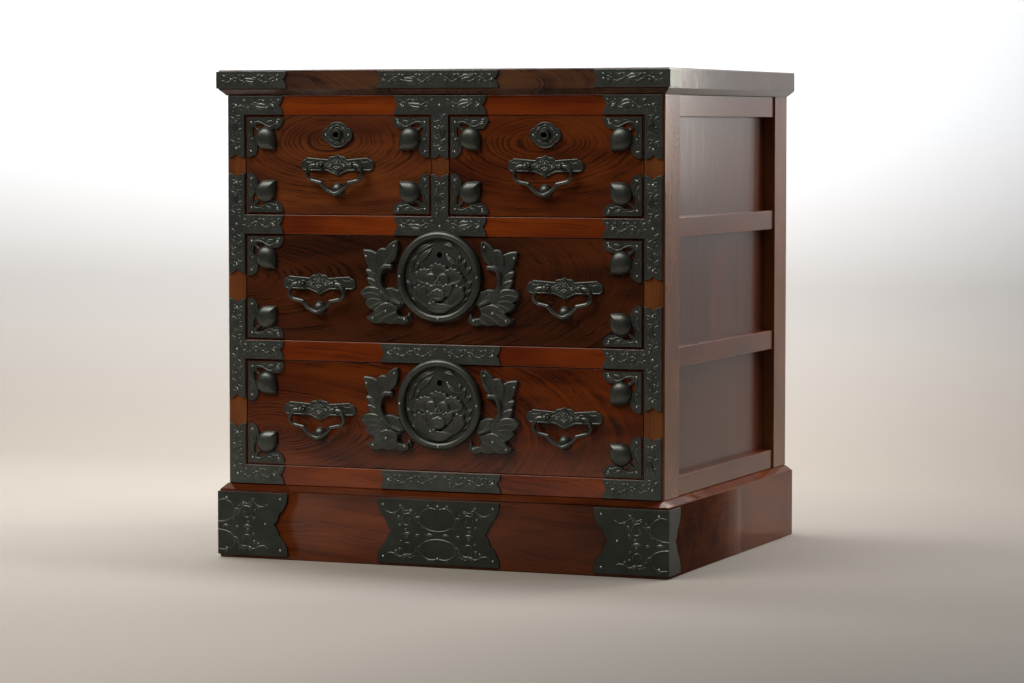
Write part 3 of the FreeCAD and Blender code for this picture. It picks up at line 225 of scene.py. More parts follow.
@dataclass(frozen=True)
class LacqueredKeyaki:
    """Flat-sawn keyaki wiped with red lacquer: dark pore lines under a clear polished film."""

    name: str
    late_wood: str            # the smooth red-brown between the pore lines
    glow: str                 # painted light: the lighter orange laid on in large random patches
    pores: str                # the ring of large pores that the lacquer fills dark
    grain: Along = Along.X
    heart: Point = (0.0, 0.0)  # where the growth rings close, along and across the grain
    deep: float = 30.0        # how far the tree's heart lies behind the face
    stretch: float = 3.0      # how much longer than tall the closed rings are
    ring: float = 4.2         # from one growth ring to the next, 2.5 to 7 mm on these boards
    warp: float = 9.0         # how far the rings wander
    seed: float = 0.0         # sets this board's figure apart from the others
    line: float = 0.95        # depth of tone of the pore lines
    film: float = 0.13        # roughness of the polished film
    sink: float = 0.25        # how strongly it sinks into the pores
    gloss: float = 1.0        # less where the film is worn thin
    painted_light_share: float = 0.5   # how much of the board takes the painted light

    def material(self) -> bpy.types.Material:
        """Build the material.

        Returns:
            A node material whose grain is worked out from the object's own coordinates.
        """
        material, tree = fresh_material(self.name)
        place = add_node(tree, "ShaderNodeVectorMath", {"operation": "SCALE"},
                         {0: place_on(tree), "Scale": 1 / MM}).outputs[0]
        axes = split(tree, place, self.grain.value)
        streaks = self.blots(tree, axes, STREAKS_MM, 11.9)["Fac"]
        lines = self.pore_lines(tree, axes, streaks)
        # Painted light: large random patches mix the lighter glow colour into the wood, standing
        # in for uneven shading across the lacquer.
        patches = self.blots(tree, axes, PAINTED_LIGHT_MM, 19.7)["Fac"]
        painted_light_mask = clamped(tree, combine(tree, "MULTIPLY_ADD", patches, PAINTED_LIGHT_GAIN,
                                     self.painted_light_share - PAINTED_LIGHT_GAIN / 2))
        body = blend(tree, painted_light_mask, linear(self.late_wood), linear(self.glow))
        colour = blend(tree, lines, body, linear(self.pores))
        tone = combine(tree, "MULTIPLY_ADD", streaks, 0.5, 0.75)
        # The film sinks a little into the pores, which breaks up the reflections.
        sunk = bump(tree, lines, self.sink, PORE_DEPTH_MM, invert=True)
        # Film and wood have nearly the same index, so the wood under the film adds no shine.
        finish_surface(tree, {"Base Color": blend(tree, 1.0, colour, tone, "MULTIPLY"),
                              "Roughness": 0.5, "Specular IOR Level": 0.0,
                              "Coat Weight": self.gloss, "Coat Roughness": self.film,
                              "Coat IOR": FILM_IOR, "Normal": sunk, "Coat Normal": sunk})
        return material

    def blots(self, tree: bpy.types.NodeTree, axes: list[Any], size: Point, shift: float,
              detail: float = 2.0) -> bpy.types.NodeOutputs:
        """Make a noise that is drawn out along the grain.

        Args:
            tree: the node tree.
            axes: the place along, across and into the grain, in millimetres.
            size: length and width of a blot, in millimetres.
            shift: sets this noise apart from the others.
            detail: its octaves.

        Returns:
            The noise node's outputs.
        """
        along, across = size
        spot = join(tree, combine(tree, "MULTIPLY_ADD", axes[0], 1 / along, self.seed + shift),
                    combine(tree, "MULTIPLY_ADD", axes[1], 1 / across, shift * 1.7),
                    combine(tree, "MULTIPLY_ADD", axes[2], 1 / across, self.seed))
        return noise(tree, spot, 1.0, detail)

    def growth_rings(self, tree: bpy.types.NodeTree, axes: list[Any]) -> bpy.types.NodeSocket:
        """Count the growth rings out from the tree's heart.

        Args:
            tree: the node tree.
            axes: the place along, across and into the grain, in millimetres.

        Returns:
            How many rings lie between the heart and the place.
        """
        wander = add_node(tree, "ShaderNodeSeparateColor", None,
                          {0: self.blots(tree, axes, WANDER_MM, 3.1, 1.0)["Color"]}).outputs
        ripple = self.blots(tree, axes, RIPPLE_MM, 7.3)["Fac"]
        u = combine(tree, "MULTIPLY_ADD", axes[0], 1 / self.stretch,
                    -self.heart[0] / self.stretch)
        u = combine(tree, "MULTIPLY_ADD", wander[0], self.warp * 2, u)
        v = combine(tree, "ADD", axes[1], -self.heart[1] - self.warp)
        v = combine(tree, "MULTIPLY_ADD", wander[1], self.warp * 2, v)
        w = combine(tree, "MULTIPLY_ADD", wander[2], self.warp, self.deep)
        radius = add_node(tree, "ShaderNodeVectorMath", {"operation": "LENGTH"},
                          {0: join(tree, u, v, w)}).outputs["Value"]
        radius = combine(tree, "MULTIPLY_ADD", ripple, RIPPLE_DEPTH_MM, radius)
        uneven = add_node(tree, "ShaderNodeTexNoise", {"noise_dimensions": "1D"},
                          {"W": combine(tree, "MULTIPLY", radius, UNEVEN_PER_MM),
                           "Scale": 1.0, "Detail": 2.0}).outputs[0]
        return combine(tree, "MULTIPLY_ADD", radius, 1 / self.ring,
                       combine(tree, "MULTIPLY", uneven, UNEVEN_RINGS))

    def pore_lines(self, tree: bpy.types.NodeTree, axes: list[Any],
                   streaks: Any) -> bpy.types.NodeSocket:
        """Darken each ring's band of large pores, in broken lines that fade here and there.

        Args:
            tree: the node tree.
            axes: the place along, across and into the grain, in millimetres.
            streaks: the fine fibres that break the lines up.

        Returns:
            How dark the pores make the place.
        """
        phase = combine(tree, "FRACT", self.growth_rings(tree, axes))
        band = add_node(tree, "ShaderNodeValToRGB", None, {0: phase})
        ramp = band.color_ramp
        ramp.elements[0].color = (1.0, 1.0, 1.0, 1.0)
        ramp.elements[1].color = (0.8, 0.8, 0.8, 1.0)
        for position, level in PORE_BAND:
            ramp.elements.new(position).color = (level, level, level, 1.0)
        fine = combine(tree, "SMOOTH_MIN", combine(tree, "MULTIPLY", streaks, STREAK_GAIN),
                       1.0, 0.1)
        faint = self.blots(tree, axes, FAINT_MM, 27.1)["Fac"]
        faint = clamped(tree, combine(tree, "MULTIPLY_ADD", faint, FAINT_GAIN, FAINT_FALL),
                        FAINTEST)
        fine = combine(tree, "MULTIPLY", fine, combine(tree, "MULTIPLY", faint, self.line))
        return combine(tree, "MULTIPLY", band.outputs[0], fine)


@dataclass(frozen=True)
class PlanedSoftwood:
    """Bare planed cedar, as inside a chest: pale, straight-grained and dull."""

    name: str
    early_wood: str
    late_wood: str
    grain: Along = Along.Y
    ring: float = 3.0

    def material(self) -> bpy.types.Material:
        """Build the material.

        Returns:
            A node material with straight rings and fine fibres.
        """
        material, tree = fresh_material(self.name)
        place = place_on(tree)
        along, across, into = split(tree, place, self.grain.value)
        spot = join(tree, combine(tree, "MULTIPLY", along, FIBRES_PER_M[0]),
                    combine(tree, "MULTIPLY", across, FIBRES_PER_M[1]),
                    combine(tree, "MULTIPLY", into, FIBRES_PER_M[1]))
        fibres = noise(tree, spot, 1.0, 2.0)["Fac"]
        drift = noise(tree, place, 5.0, 1.0)["Fac"]
        slant = combine(tree, "ADD", across, combine(tree, "MULTIPLY", into, 0.8))
        rings = combine(tree, "MULTIPLY_ADD", slant, 1 / (self.ring * MM),
                        combine(tree, "MULTIPLY", drift, 9.0))
        band = combine(tree, "POWER", combine(tree, "FRACT", rings), 3.0)
        amount = combine(tree, "MULTIPLY_ADD", fibres, 0.5, combine(tree, "MULTIPLY", band, 0.5))
        colour = blend(tree, amount, linear(self.early_wood), linear(self.late_wood))
        finish_surface(tree, {"Base Color": colour, "Roughness": 0.68, "IOR": 1.5,
                              "Normal": bump(tree, fibres, 0.3, 0.2)})
        return material


@dataclass(frozen=True)
class BlackenedIron:
    """Wrought iron sheet, burnt black with lacquer: grey-green black with a soft sheen."""

    name: str
    black: str
    bare: str                 # where the black is rubbed thin
    roughness: float = 0.42
    rubbed: float = 0.25
    hammer: float = 5.0       # hammer facets are about 5 mm across
    dent: float = 0.12        # and about a tenth of a millimetre deep

    def material(self) -> bpy.types.Material:
        """Build the material.

        Returns:
            A node material with hammer marks, fine scale and rubbed spots.
        """
        material, tree = fresh_material(self.name)
        place = place_on(tree)
        facets = noise(tree, place, 1 / (self.hammer * MM), 1.0)["Fac"]
        scale = noise(tree, place, 1 / (SCALE_MM * MM), 3.0)["Fac"]
        patches = noise(tree, place, 1 / (RUBBED_MM * MM), 4.0)["Fac"]
        worn = clamped(tree, combine(tree, "MULTIPLY_ADD", patches, WORN_GAIN,
                                     self.rubbed - WORN_GAIN / 2))
        rough = combine(tree, "MULTIPLY_ADD", scale, ROUGH_SPREAD,
                        self.roughness - ROUGH_SPREAD / 2)
        height = combine(tree, "MULTIPLY_ADD", scale, SCALE_HEIGHT, facets)
        finish_surface(tree, {"Base Color": blend(tree, worn, linear(self.black),
                                                  linear(self.bare)),
                              "Metallic": METAL_SHARE, "Roughness": rough,
                              "Normal": bump(tree, height, 0.6, self.dent)})
        return material


# Wiped lacquer over figured keyaki: the drawer fronts are the darkest, the rails the most orange,
# with the most painted light.
SMALL_LEFT = LacqueredKeyaki("lacquered_keyaki_small_left", "#4b2418", "#7a401d", "#1d110e",
                             heart=(-128.0, 480.0), deep=5.0, stretch=2.3, ring=2.5, warp=3.2,
                             seed=2.0)
SMALL_RIGHT = LacqueredKeyaki("lacquered_keyaki_small_right", "#4b200f", "#763815", "#1d0f0a",
                              heart=(126.0, 478.0), deep=7.0, stretch=2.4, ring=2.5, warp=3.2,
                              seed=5.0)
UPPER_WIDE = LacqueredKeyaki("lacquered_keyaki_upper_wide", "#3a1c10", "#5e2f15", "#160d0a",
                             heart=(-236.0, 322.0), deep=5.0, stretch=3.6, ring=2.6, warp=6.0,
                             seed=8.0, painted_light_share=0.35)
LOWER_WIDE = LacqueredKeyaki("lacquered_keyaki_lower_wide", "#441809", "#71320f", "#190a06",
                             heart=(-192.0, 150.0), deep=6.0, stretch=3.0, ring=2.6, warp=6.0,
                             seed=12.0)
RAILS = LacqueredKeyaki("lacquered_keyaki_rails", "#5c220f", "#843a12", "#2c0f0a",
                        heart=(-520.0, 40.0), deep=60.0, stretch=9.0, ring=5.5, warp=10.0,
                        seed=17.0, line=0.6, painted_light_share=0.6, gloss=0.7)
STILES = LacqueredKeyaki("lacquered_keyaki_stiles", "#5d321d", "#804a23", "#311e14",
                         grain=Along.Z, heart=(900.0, 60.0), deep=60.0, stretch=9.0, ring=4.5,
                         warp=8.0, seed=23.0, line=0.45)
TOP_EDGE = LacqueredKeyaki("lacquered_keyaki_top", "#3d2823", "#5f3e29", "#1c1517",
                           heart=(-130.0, 520.0), deep=14.0, stretch=3.2, ring=7.0, warp=26.0,
                           seed=29.0)
PLINTH = LacqueredKeyaki("lacquered_keyaki_plinth", "#4e220f", "#6e3517", "#2a0f07",
                         heart=(-500.0, -60.0), deep=60.0, stretch=9.0, ring=4.0, warp=10.0,
                         seed=31.0, line=0.6, gloss=0.45)
SIDE_PANELS = LacqueredKeyaki("lacquered_keyaki_side_panels", "#452010", "#5c2c17", "#26120a",
                              grain=Along.Z_SIDE, heart=(980.0, 20.0), deep=60.0, stretch=9.0,
                              ring=7.0, warp=16.0, seed=37.0, line=0.6, film=0.2,
                              sink=0.7)
SIDE_RAILS = LacqueredKeyaki("lacquered_keyaki_side_rails", "#50240f", "#6a3214", "#2e150a",
                             grain=Along.Y, heart=(700.0, 100.0), deep=60.0, stretch=9.0,
                             ring=5.0, warp=8.0, seed=41.0, line=0.35, film=0.17)
# Drawer linings are planed cedar; the boards that no one sees are a little darker.
LININGS = PlanedSoftwood("planed_cedar_linings", "#b98f5d", "#94683c")
CARCASS = PlanedSoftwood("planed_cedar_carcass", "#a37b50", "#7d5733", ring=4.0)
# Blackened iron: the case's straps are flatter and cleaner than the chased drawer ironwork.
CASE_IRON = BlackenedIron("blackened_iron_case", "#4c504c", "#666963", 0.38)
PLINTH_IRON = BlackenedIron("blackened_iron_plinth", "#3a3d39", "#4e514b", 0.42)
DRAWER_IRON = BlackenedIron("blackened_iron_drawers", "#484a46", "#60625c", 0.38)
CHASED_IRON = BlackenedIron("chased_iron_rubbed", "#4c4f4b", "#6a6d67", 0.32, rubbed=0.35,
                            hammer=3.0, dent=0.05)
BAIL_IRON = BlackenedIron("forged_iron_worn", "#464946", "#6c6e68", 0.25, rubbed=0.4, dent=0.06)
NAIL_IRON = BlackenedIron("burnished_nail_heads", "#8f918a", "#b5b6ae", 0.3, rubbed=0.5,
                          hammer=2.0, dent=0.03)
LOCK_IRON = BlackenedIron("dull_lock_iron", "#3f413e", "#5a5c57", 0.55)


# ---------------------------------------------------------------------------------------
# Workshop
# ---------------------------------------------------------------------------------------
JOIN_MM = 0.01                # corners closer than this are one
FLAT_DEG = 0.5                # faces that turn less than this are one
ARRIS_DEG = 38.0              # edges that turn more than this are eased


@dataclass
class Workshop:
    """Dresses the frame's nodes, adds pieces, and hands out each finish's material once."""

    made: dict[str, bpy.types.Material] = field(default_factory=dict)

    def material(self, finish: Any) -> bpy.types.Material:
        """Return the material of a finish, built the first time it is asked for."""
        if finish.name not in self.made:
            self.made[finish.name] = finish.material()
        return self.made[finish.name]

    def dress(self, nodes: Iterable[str], finish: Any, round_mm: float = 0.0) -> None:
        """Give frame nodes a finish, and ease their sharp arrises.

        Args:
            nodes: names of frame nodes.
            finish: the finish they take.
            round_mm: width of the eased arris; nothing is eased at zero.
        """
        for name in nodes:
            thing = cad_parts[name]
            for slot in thing.material_slots:
                slot.material = self.material(finish)
            if round_mm:
                self.ease(thing, round_mm)
            log.info("dressed %s in %s", name, finish.name)

    def ease(self, thing: bpy.types.Object, round_mm: float) -> None:
        """Join a node's faces, bevel its arrises and even out its shading.

        Args:
            thing: the node.
            round_mm: width of the eased arris.
        """
        steps = (("joined_faces", "WELD", {"merge_threshold": JOIN_MM * MM}),
                 ("whole_faces", "DECIMATE", {"decimate_type": "DISSOLVE",
                                              "angle_limit": math.radians(FLAT_DEG)}),
                 ("eased_arrises", "BEVEL", {"width": round_mm * MM, "segments": 2,
                                             "limit_method": "ANGLE",
                                             "angle_limit": math.radians(ARRIS_DEG)}),
                 ("even_normals", "WEIGHTED_NORMAL", {"weight": 100}))
        for name, kind, settings in steps:
            step = thing.modifiers.new(name, kind)
            for key, value in settings.items():
                setattr(step, key, value)

    def add_iron(self, name: str, mesh: bpy.types.Mesh, finish: BlackenedIron, body: str,
                 at: Spot = (0.0, 0.0, 0.0)) -> None:
        """Put a mesh in the scene as a piece of ironwork that rides on a body.

        Args:
            name: the piece's name.
            mesh: its mesh, in metres.
            finish: its finish.
            body: the body that it rides on.
            at: where its own origin sits, in millimetres.
        """
        piece = bpy.data.objects.new(name, mesh)
        bpy.context.scene.collection.objects.link(piece)
        piece.location = [value * MM for value in at]
        mesh.materials.append(self.material(finish))
        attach(piece, body)
        log.info("made %s on %s", name, body)

    def add_nails(self, name: str, nails: "NailHeads", body: str) -> None:
        """Put a set of nail heads in the scene as one piece."""
        self.add_iron(name, nails.mesh(name), NAIL_IRON, body)


# ---------------------------------------------------------------------------------------
# Chased relief
# ---------------------------------------------------------------------------------------
def flowing(points: Sequence[Point], steps: int = 6) -> list[Point]:
    """Return a smooth run through the points.

    Args:
        points: the points that the run passes through.
        steps: how many pieces each span is divided into.

    Returns:
        The points of the smooth run.
    """
    p = [np.array(point, float) for point in points]
    p = [2 * p[0] - p[1]] + p + [2 * p[-1] - p[-2]]
    run = []
    for i in range(1, len(p) - 2):
        for k in range(steps):
            t = k / steps
            run.append(0.5 * (2 * p[i] + (p[i + 1] - p[i - 1]) * t
                              + (2 * p[i - 1] - 5 * p[i] + 4 * p[i + 1] - p[i + 2]) * t * t
                              + (3 * p[i] - p[i - 1] - 3 * p[i + 1] + p[i + 2]) * t ** 3))
    run.append(p[-2])
    return [(float(q[0]), float(q[1])) for q in run]


@dataclass
class Relief:
    """A chased relief: heights above a plate on a fine grid in the front plane."""

    low: Point
    high: Point
    pitch: float = 0.5        # of the grid
    sunk: float = -0.35       # the height where nothing is raised, inside the plate

    def __post_init__(self) -> None:
        """Lay out the grid."""
        across = int(round((self.high[0] - self.low[0]) / self.pitch)) + 1
        up = int(round((self.high[1] - self.low[1]) / self.pitch)) + 1
        self.x = np.linspace(self.low[0], self.high[0], across)
        self.z = np.linspace(self.low[1], self.high[1], up)
        self.h = np.full((across, up), self.sunk)
        self.inside = np.ones((across, up), bool)
        self.edge = np.full((across, up), 9.0)
        self.crown = np.zeros((across, up))

    def window(self, x0: float, z0: float, x1: float, z1: float) -> tuple[slice, slice]:
        """Find the part of the grid that covers a rectangle.

        Args:
            x0: its left edge.
            z0: its lower edge.
            x1: its right edge.
            z1: its upper edge.

        Returns:
            The slices of the grid, across and up.
        """
        i0, i1 = np.searchsorted(self.x, [x0, x1])
        k0, k1 = np.searchsorted(self.z, [z0, z1])
        return slice(max(i0 - 1, 0), i1 + 1), slice(max(k0 - 1, 0), k1 + 1)

    def away(self, a: Point, b: Point, reach: float) -> tuple[tuple[slice, slice], Any, Any]:
        """Measure how far the grid lies from a short line.

        Args:
            a: the line's start.
            b: its end.
            reach: how far round the line to measure.

        Returns:
            The window of the grid, its distances and the shares along the line.
        """
        area = self.window(min(a[0], b[0]) - reach, min(a[1], b[1]) - reach,
                           max(a[0], b[0]) + reach, max(a[1], b[1]) + reach)
        gx = self.x[area[0]][:, None] - a[0]
        gz = self.z[area[1]][None, :] - a[1]
        dx, dz = b[0] - a[0], b[1] - a[1]
        share = np.clip((gx * dx + gz * dz) / max(dx * dx + dz * dz, 1e-9), 0, 1)
        return area, np.hypot(gx - share * dx, gz - share * dz), share

    def ridge(self, points: Sequence[Point], width: float, height: float,
              ends: Point = (0.35, 0.35), base: float = 0.0) -> None:
        """Raise a rounded ridge along a run.

        Args:
            points: the run.
            width: its full width at the middle.
            height: its height there.
            ends: share of the width left at the start and at the end.
            base: the level that it stands on.
        """
        count = max(len(points) - 1, 1)
        for i, (a, b) in enumerate(zip(points[:-1], points[1:])):
            area, apart, share = self.away(a, b, width)
            t = (i + share) / count
            swell = np.where(t < 0.5, ends[0] + (1 - ends[0]) * np.sin(np.pi * t),
                             ends[1] + (1 - ends[1]) * np.sin(np.pi * t))
            half = width / 2 * swell
            rise = 1 - (apart / half) ** 2
            top = np.where(rise > 0, base + height * np.sqrt(np.maximum(rise, 0)) * swell ** 0.5,
                           self.sunk)
            self.h[area] = np.maximum(self.h[area], top)

    def groove(self, points: Sequence[Point], width: float, depth: float) -> None:
        """Cut a rounded groove along a run into what is already raised."""
        for a, b in zip(points[:-1], points[1:]):
            area, apart, _ = self.away(a, b, width)
            fall = np.exp(-(apart / (width / 2)) ** 2) * depth
            self.h[area] = np.minimum(self.h[area], self.before[area] - fall)

    def hold(self) -> None:
        """Remember the heights that grooves are cut into."""
        self.before = self.h.copy()

    def leaf(self, root: Point, tip: Point, width: float, height: float, base: float = 0.0,
             bow: float = 0.0) -> None:
        """Raise a pointed leaf with a sunk middle vein.

        Args:
            root: where it grows from.
            tip: where it ends.
            width: its full width.
            height: its height.
            base: the level that it stands on.
            bow: how far its middle line bows to its left.
        """
        reach = math.dist(root, tip)
        area = self.window(min(root[0], tip[0]) - width, min(root[1], tip[1]) - width,
                           max(root[0], tip[0]) + width, max(root[1], tip[1]) + width)
        ux, uz = (tip[0] - root[0]) / reach, (tip[1] - root[1]) / reach
        gx = self.x[area[0]][:, None] - root[0]
        gz = self.z[area[1]][None, :] - root[1]
        t = (gx * ux + gz * uz) / reach
        s = gz * ux - gx * uz - bow * np.sin(np.pi * np.clip(t, 0, 1))
        half = width / 2 * np.sin(np.pi * np.clip(t, 0.001, 0.999) ** 0.8)
        q = np.abs(s) / half
        shape = np.sqrt(np.maximum(1 - q ** 2.4, 0)) * (1 - 0.55 * np.exp(-(s / 0.55) ** 2))
        rise = base + height * shape * np.minimum(1, half * 2.4 / width)
        self.h[area] = np.where((t > 0) & (t < 1) & (q < 1), np.maximum(self.h[area], rise),
                                self.h[area])

    def lobe(self, outline: Sequence[Point], level: float, roll: float = 1.6,
             bumps: Sequence[Point] = (), bump: float = 2.4, dish: float = 0.0,
             rise: float = 9.0) -> None:
        """Lay a sheet with a rolled rim over what is there, as one petal or leaf over another.

        Args:
            outline: its corners in order.
            level: how high it lies.
            roll: width of the rolled rim.
            bumps: round scallops that widen it.
            bump: radius of a scallop.
            dish: how far its middle sinks inside the rim.
            rise: the most that the rolled rim climbs; below that the rim is cut steep.
        """
        spots = np.array(list(outline) + list(bumps))
        low, high = spots.min(0) - bump, spots.max(0) + bump
        area = self.window(low[0], low[1], high[0], high[1])
        gx = self.x[area[0]][:, None]
        gz = self.z[area[1]][None, :]
        apart = np.full(self.h[area].shape, 99.0)
        within = np.zeros(apart.shape, bool)
        for (ax, az), (bx, bz) in zip(outline, list(outline[1:]) + [outline[0]]):
            dx, dz = bx - ax, bz - az
            share = np.clip(((gx - ax) * dx + (gz - az) * dz) / (dx * dx + dz * dz), 0, 1)
            apart = np.minimum(apart, np.hypot(gx - ax - share * dx, gz - az - share * dz))
            if dz:
                within ^= ((az > gz) != (bz > gz)) & (gx < ax + (gz - az) * dx / dz)
        inward = np.where(within, apart, -apart)
        for x, z in bumps:
            inward = np.maximum(inward, bump - np.hypot(gx - x, gz - z))
        lip = np.sin(np.clip(inward / roll, 0, 1) * math.pi / 2)
        under = np.maximum(self.h[area], max(level - rise, 0.0))
        top = under + (level - under) * lip
        top = top - dish * (1 - np.exp(-(np.maximum(inward - roll, 0) / 2.2) ** 2))
        self.h[area] = np.where(inward > 0, np.maximum(self.h[area], top), self.h[area])

    def dome(self, centre: Point, radius: float, height: float, base: float = 0.0) -> None:
        """Raise a round boss.

        Args:
            centre: its middle.
            radius: its radius.
            height: its height.
            base: the level that it stands on.
        """
        area, apart, _ = self.away(centre, centre, radius)
        rise = np.sqrt(np.maximum(1 - (apart / radius) ** 2, 0))
        top = np.where(apart < radius, base + height * rise, self.sunk)
        self.h[area] = np.maximum(self.h[area], top)

    def cover(self, *plates: "PlateFace", reach: float = 5.0) -> None:
        """Keep to the inside of the plates' faces, and measure how far their edges are.

        Args:
            plates: the faces.
            reach: how far from an edge it is still measured.
        """
        self.inside[:] = False
        for triangle in [triangle for plate in plates for triangle in plate.triangles]:
            low = triangle.min(0)
            high = triangle.max(0)
            if low[0] > self.high[0] or high[0] < self.low[0]:
                continue
            area = self.window(low[0], low[1], high[0], high[1])
            gx = self.x[area[0]][:, None]
            gz = self.z[area[1]][None, :]
            (ax, az), (bx, bz), (cx, cz) = triangle
            whole = (bx - ax) * (cz - az) - (cx - ax) * (bz - az)
            if abs(whole) < 1e-9:
                continue
            s = ((gx - ax) * (cz - az) - (cx - ax) * (gz - az)) / whole
            t = ((bx - ax) * (gz - az) - (gx - ax) * (bz - az)) / whole
            self.inside[area] |= (s >= -1e-6) & (t >= -1e-6) & (s + t <= 1 + 1e-6)
        for a, b in [line for plate in plates for line in plate.outline]:
            if max(a[0], b[0]) < self.low[0] - reach or min(a[0], b[0]) > self.high[0] + reach:
                continue
            area, apart, _ = self.away(a, b, reach)
            self.edge[area] = np.minimum(self.edge[area], apart)

    def puff(self, height: float, roll: float) -> None:
        """Swell the covered face, rolled over at its edge over so many millimetres."""
        q = np.clip(self.edge / roll, 0, 1)
        self.h = np.maximum(self.h, self.sunk + (height - self.sunk) * np.sqrt(1 - (1 - q) ** 2))

    def round_over(self, roll: float) -> None:
        """Roll everything over at the covered face's edge, over so many millimetres."""
        q = np.clip(self.edge / roll, 0, 1)
        self.h = self.sunk + (self.h - self.sunk) * np.sqrt(1 - (1 - q) ** 2)

    def border(self, inset: float, width: float, height: float) -> None:
        """Raise a bead that follows the edge.

        Args:
            inset: how far inside the edge it runs.
            width: its full width.
            height: its height.
        """
        q = np.abs(self.edge - inset) / (width / 2)
        top = np.where(q < 1, height * np.sqrt(np.maximum(1 - q * q, 0)), self.sunk)
        self.h = np.maximum(self.h, top)

    def mesh(self, name: str, face: float, mirror: bool = False) -> bpy.types.Mesh:
        """Write the raised parts as a smooth mesh.

        Args:
            name: the mesh's name.
            face: the plate's face along Y, in millimetres.
            mirror: also write the same relief on the other side of X = 0.

        Returns:
            The mesh, in metres.
        """
        kept = self.inside
        raised = (self.h > -0.02) & kept
        cell = raised[:-1, :-1] | raised[1:, :-1] | raised[:-1, 1:] | raised[1:, 1:]
        cell &= kept[:-1, :-1] & kept[1:, :-1] & kept[:-1, 1:] & kept[1:, 1:]
        i, k = np.nonzero(cell)
        up = self.h.shape[1]
        corners = np.stack([i * up + k, (i + 1) * up + k, (i + 1) * up + k + 1, i * up + k + 1], 1)
        used, index = np.unique(corners.ravel(), return_inverse=True)
        faces = index.reshape(-1, 4)
        gx, gz = np.meshgrid(self.x, self.z, indexing="ij")
        depth = face - (self.h + self.crown).ravel()[used]
        spots = np.stack([gx.ravel()[used], depth, gz.ravel()[used]], 1) * MM
        if mirror:
            other = spots * np.array([-1.0, 1.0, 1.0])
            faces = np.concatenate([faces, faces[:, ::-1] + len(spots)])
            spots = np.concatenate([spots, other])
        mesh = bpy.data.meshes.new(name)
        mesh.from_pydata(spots.tolist(), [], faces.tolist())
        mesh.polygons.foreach_set("use_smooth", np.ones(len(mesh.polygons), bool))
        mesh.update()
        return mesh


@dataclass
class PlateFace:
    """The front face of a flat plate of the frame: its triangles and its outline."""

    node: str
    offset: Point = (0.0, 0.0)
    level: float | None = None

    def __post_init__(self) -> None:
        """Read the face from the frame node."""
        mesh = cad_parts[self.node].data
        spots = np.array([v.co for v in mesh.vertices]) / MM
        front = spots[:, 1].min() if self.level is None else self.level
        shift = np.array(self.offset)
        self.triangles: list[Any] = []
        seen: dict[Any, list[Any]] = {}
        for face in mesh.polygons:
            corners = spots[list(face.vertices)]
            if abs(corners[:, 1] - front).max() > 0.02:
                continue
            flat = corners[:, [0, 2]] - shift
            self.triangles.append(flat)
            keys = [tuple(np.round(corner, 3)) for corner in flat]
            for a, b in zip(keys, keys[1:] + keys[:1]):
                seen.setdefault(frozenset((a, b)), []).append((a, b))
        self.outline = [lines[0] for lines in seen.values() if len(lines) == 1]


@dataclass(frozen=True)
class Vine:
    """A running vine on a strap: a waved stem with curls, leaves and short hatches."""

    start: Point
    end: Point
    width: float              # of the strap that it decorates
    flip: int = 1
    bud: bool = False         # a swelling bud in its middle
    wave: float = 0.62        # length of half a wave, as a share of the strap's width
    swing: float = 0.15       # how far it waves to a side, likewise
    curl: float = 0.17        # radius of a curl, likewise

    def chase(self, relief: Relief) -> None:
        """Raise the vine: its stem, and for each wave a curl, two leaves and two hatches.

        Args:
            relief: the relief that takes it.
        """
        start, end = np.array(self.start), np.array(self.end)
        length = float(np.linalg.norm(end - start))
        along = (end - start) / length
        across = np.array([-along[1], along[0]]) * self.flip

        def at(u: float, v: float) -> Point:
            """Return the place so far along the vine and so far to its side."""
            spot = start + along * u + across * v
            return (float(spot[0]), float(spot[1]))

        waves = max(2, round(length / (self.width * self.wave)))
        step = length / waves
        swing = self.width * self.swing
        stem = [at(length * k / (waves * 6), swing * math.sin(math.pi * k / 6))
                for k in range(waves * 6 + 1)]
        relief.ridge(stem, 1.3, 0.7)
        for k in range(waves):
            side = 1 if k % 2 == 0 else -1
            u = (k + 0.5) * step
            curl = []
            for turn in range(9):
                angle = math.radians(90 - turn * 38)
                reach = self.width * self.curl * (1 - turn * 0.085)
                curl.append(at(u + step * 0.28 + reach * math.cos(angle),
                               side * (swing * 0.1 + self.width * 0.13 + reach * math.sin(angle))))
            relief.ridge(flowing(curl, 3), 1.15, 0.65, ends=(0.6, 0.9))
            relief.leaf(at(u - step * 0.1, side * swing * 0.5),
                        at(u - step * 0.52, side * self.width * 0.36), self.width * 0.2, 0.7)
            relief.leaf(at(u, -side * swing * 0.1), at(u + step * 0.42, -side * self.width * 0.36),
                        self.width * 0.18, 0.65)
            for hatch in (0.0, 0.13):
                relief.ridge([at(u + step * (0.02 + hatch), -side * self.width * 0.22),
                              at(u - step * (0.1 - hatch), -side * self.width * 0.36)], 0.75, 0.5)
        if self.bud:
            middle = length / 2
            relief.leaf(at(middle - self.width * 0.42, -self.width * 0.05),
                        at(middle + self.width * 0.5, self.width * 0.12), self.width * 0.42, 1.0,
                        bow=self.width * 0.1)


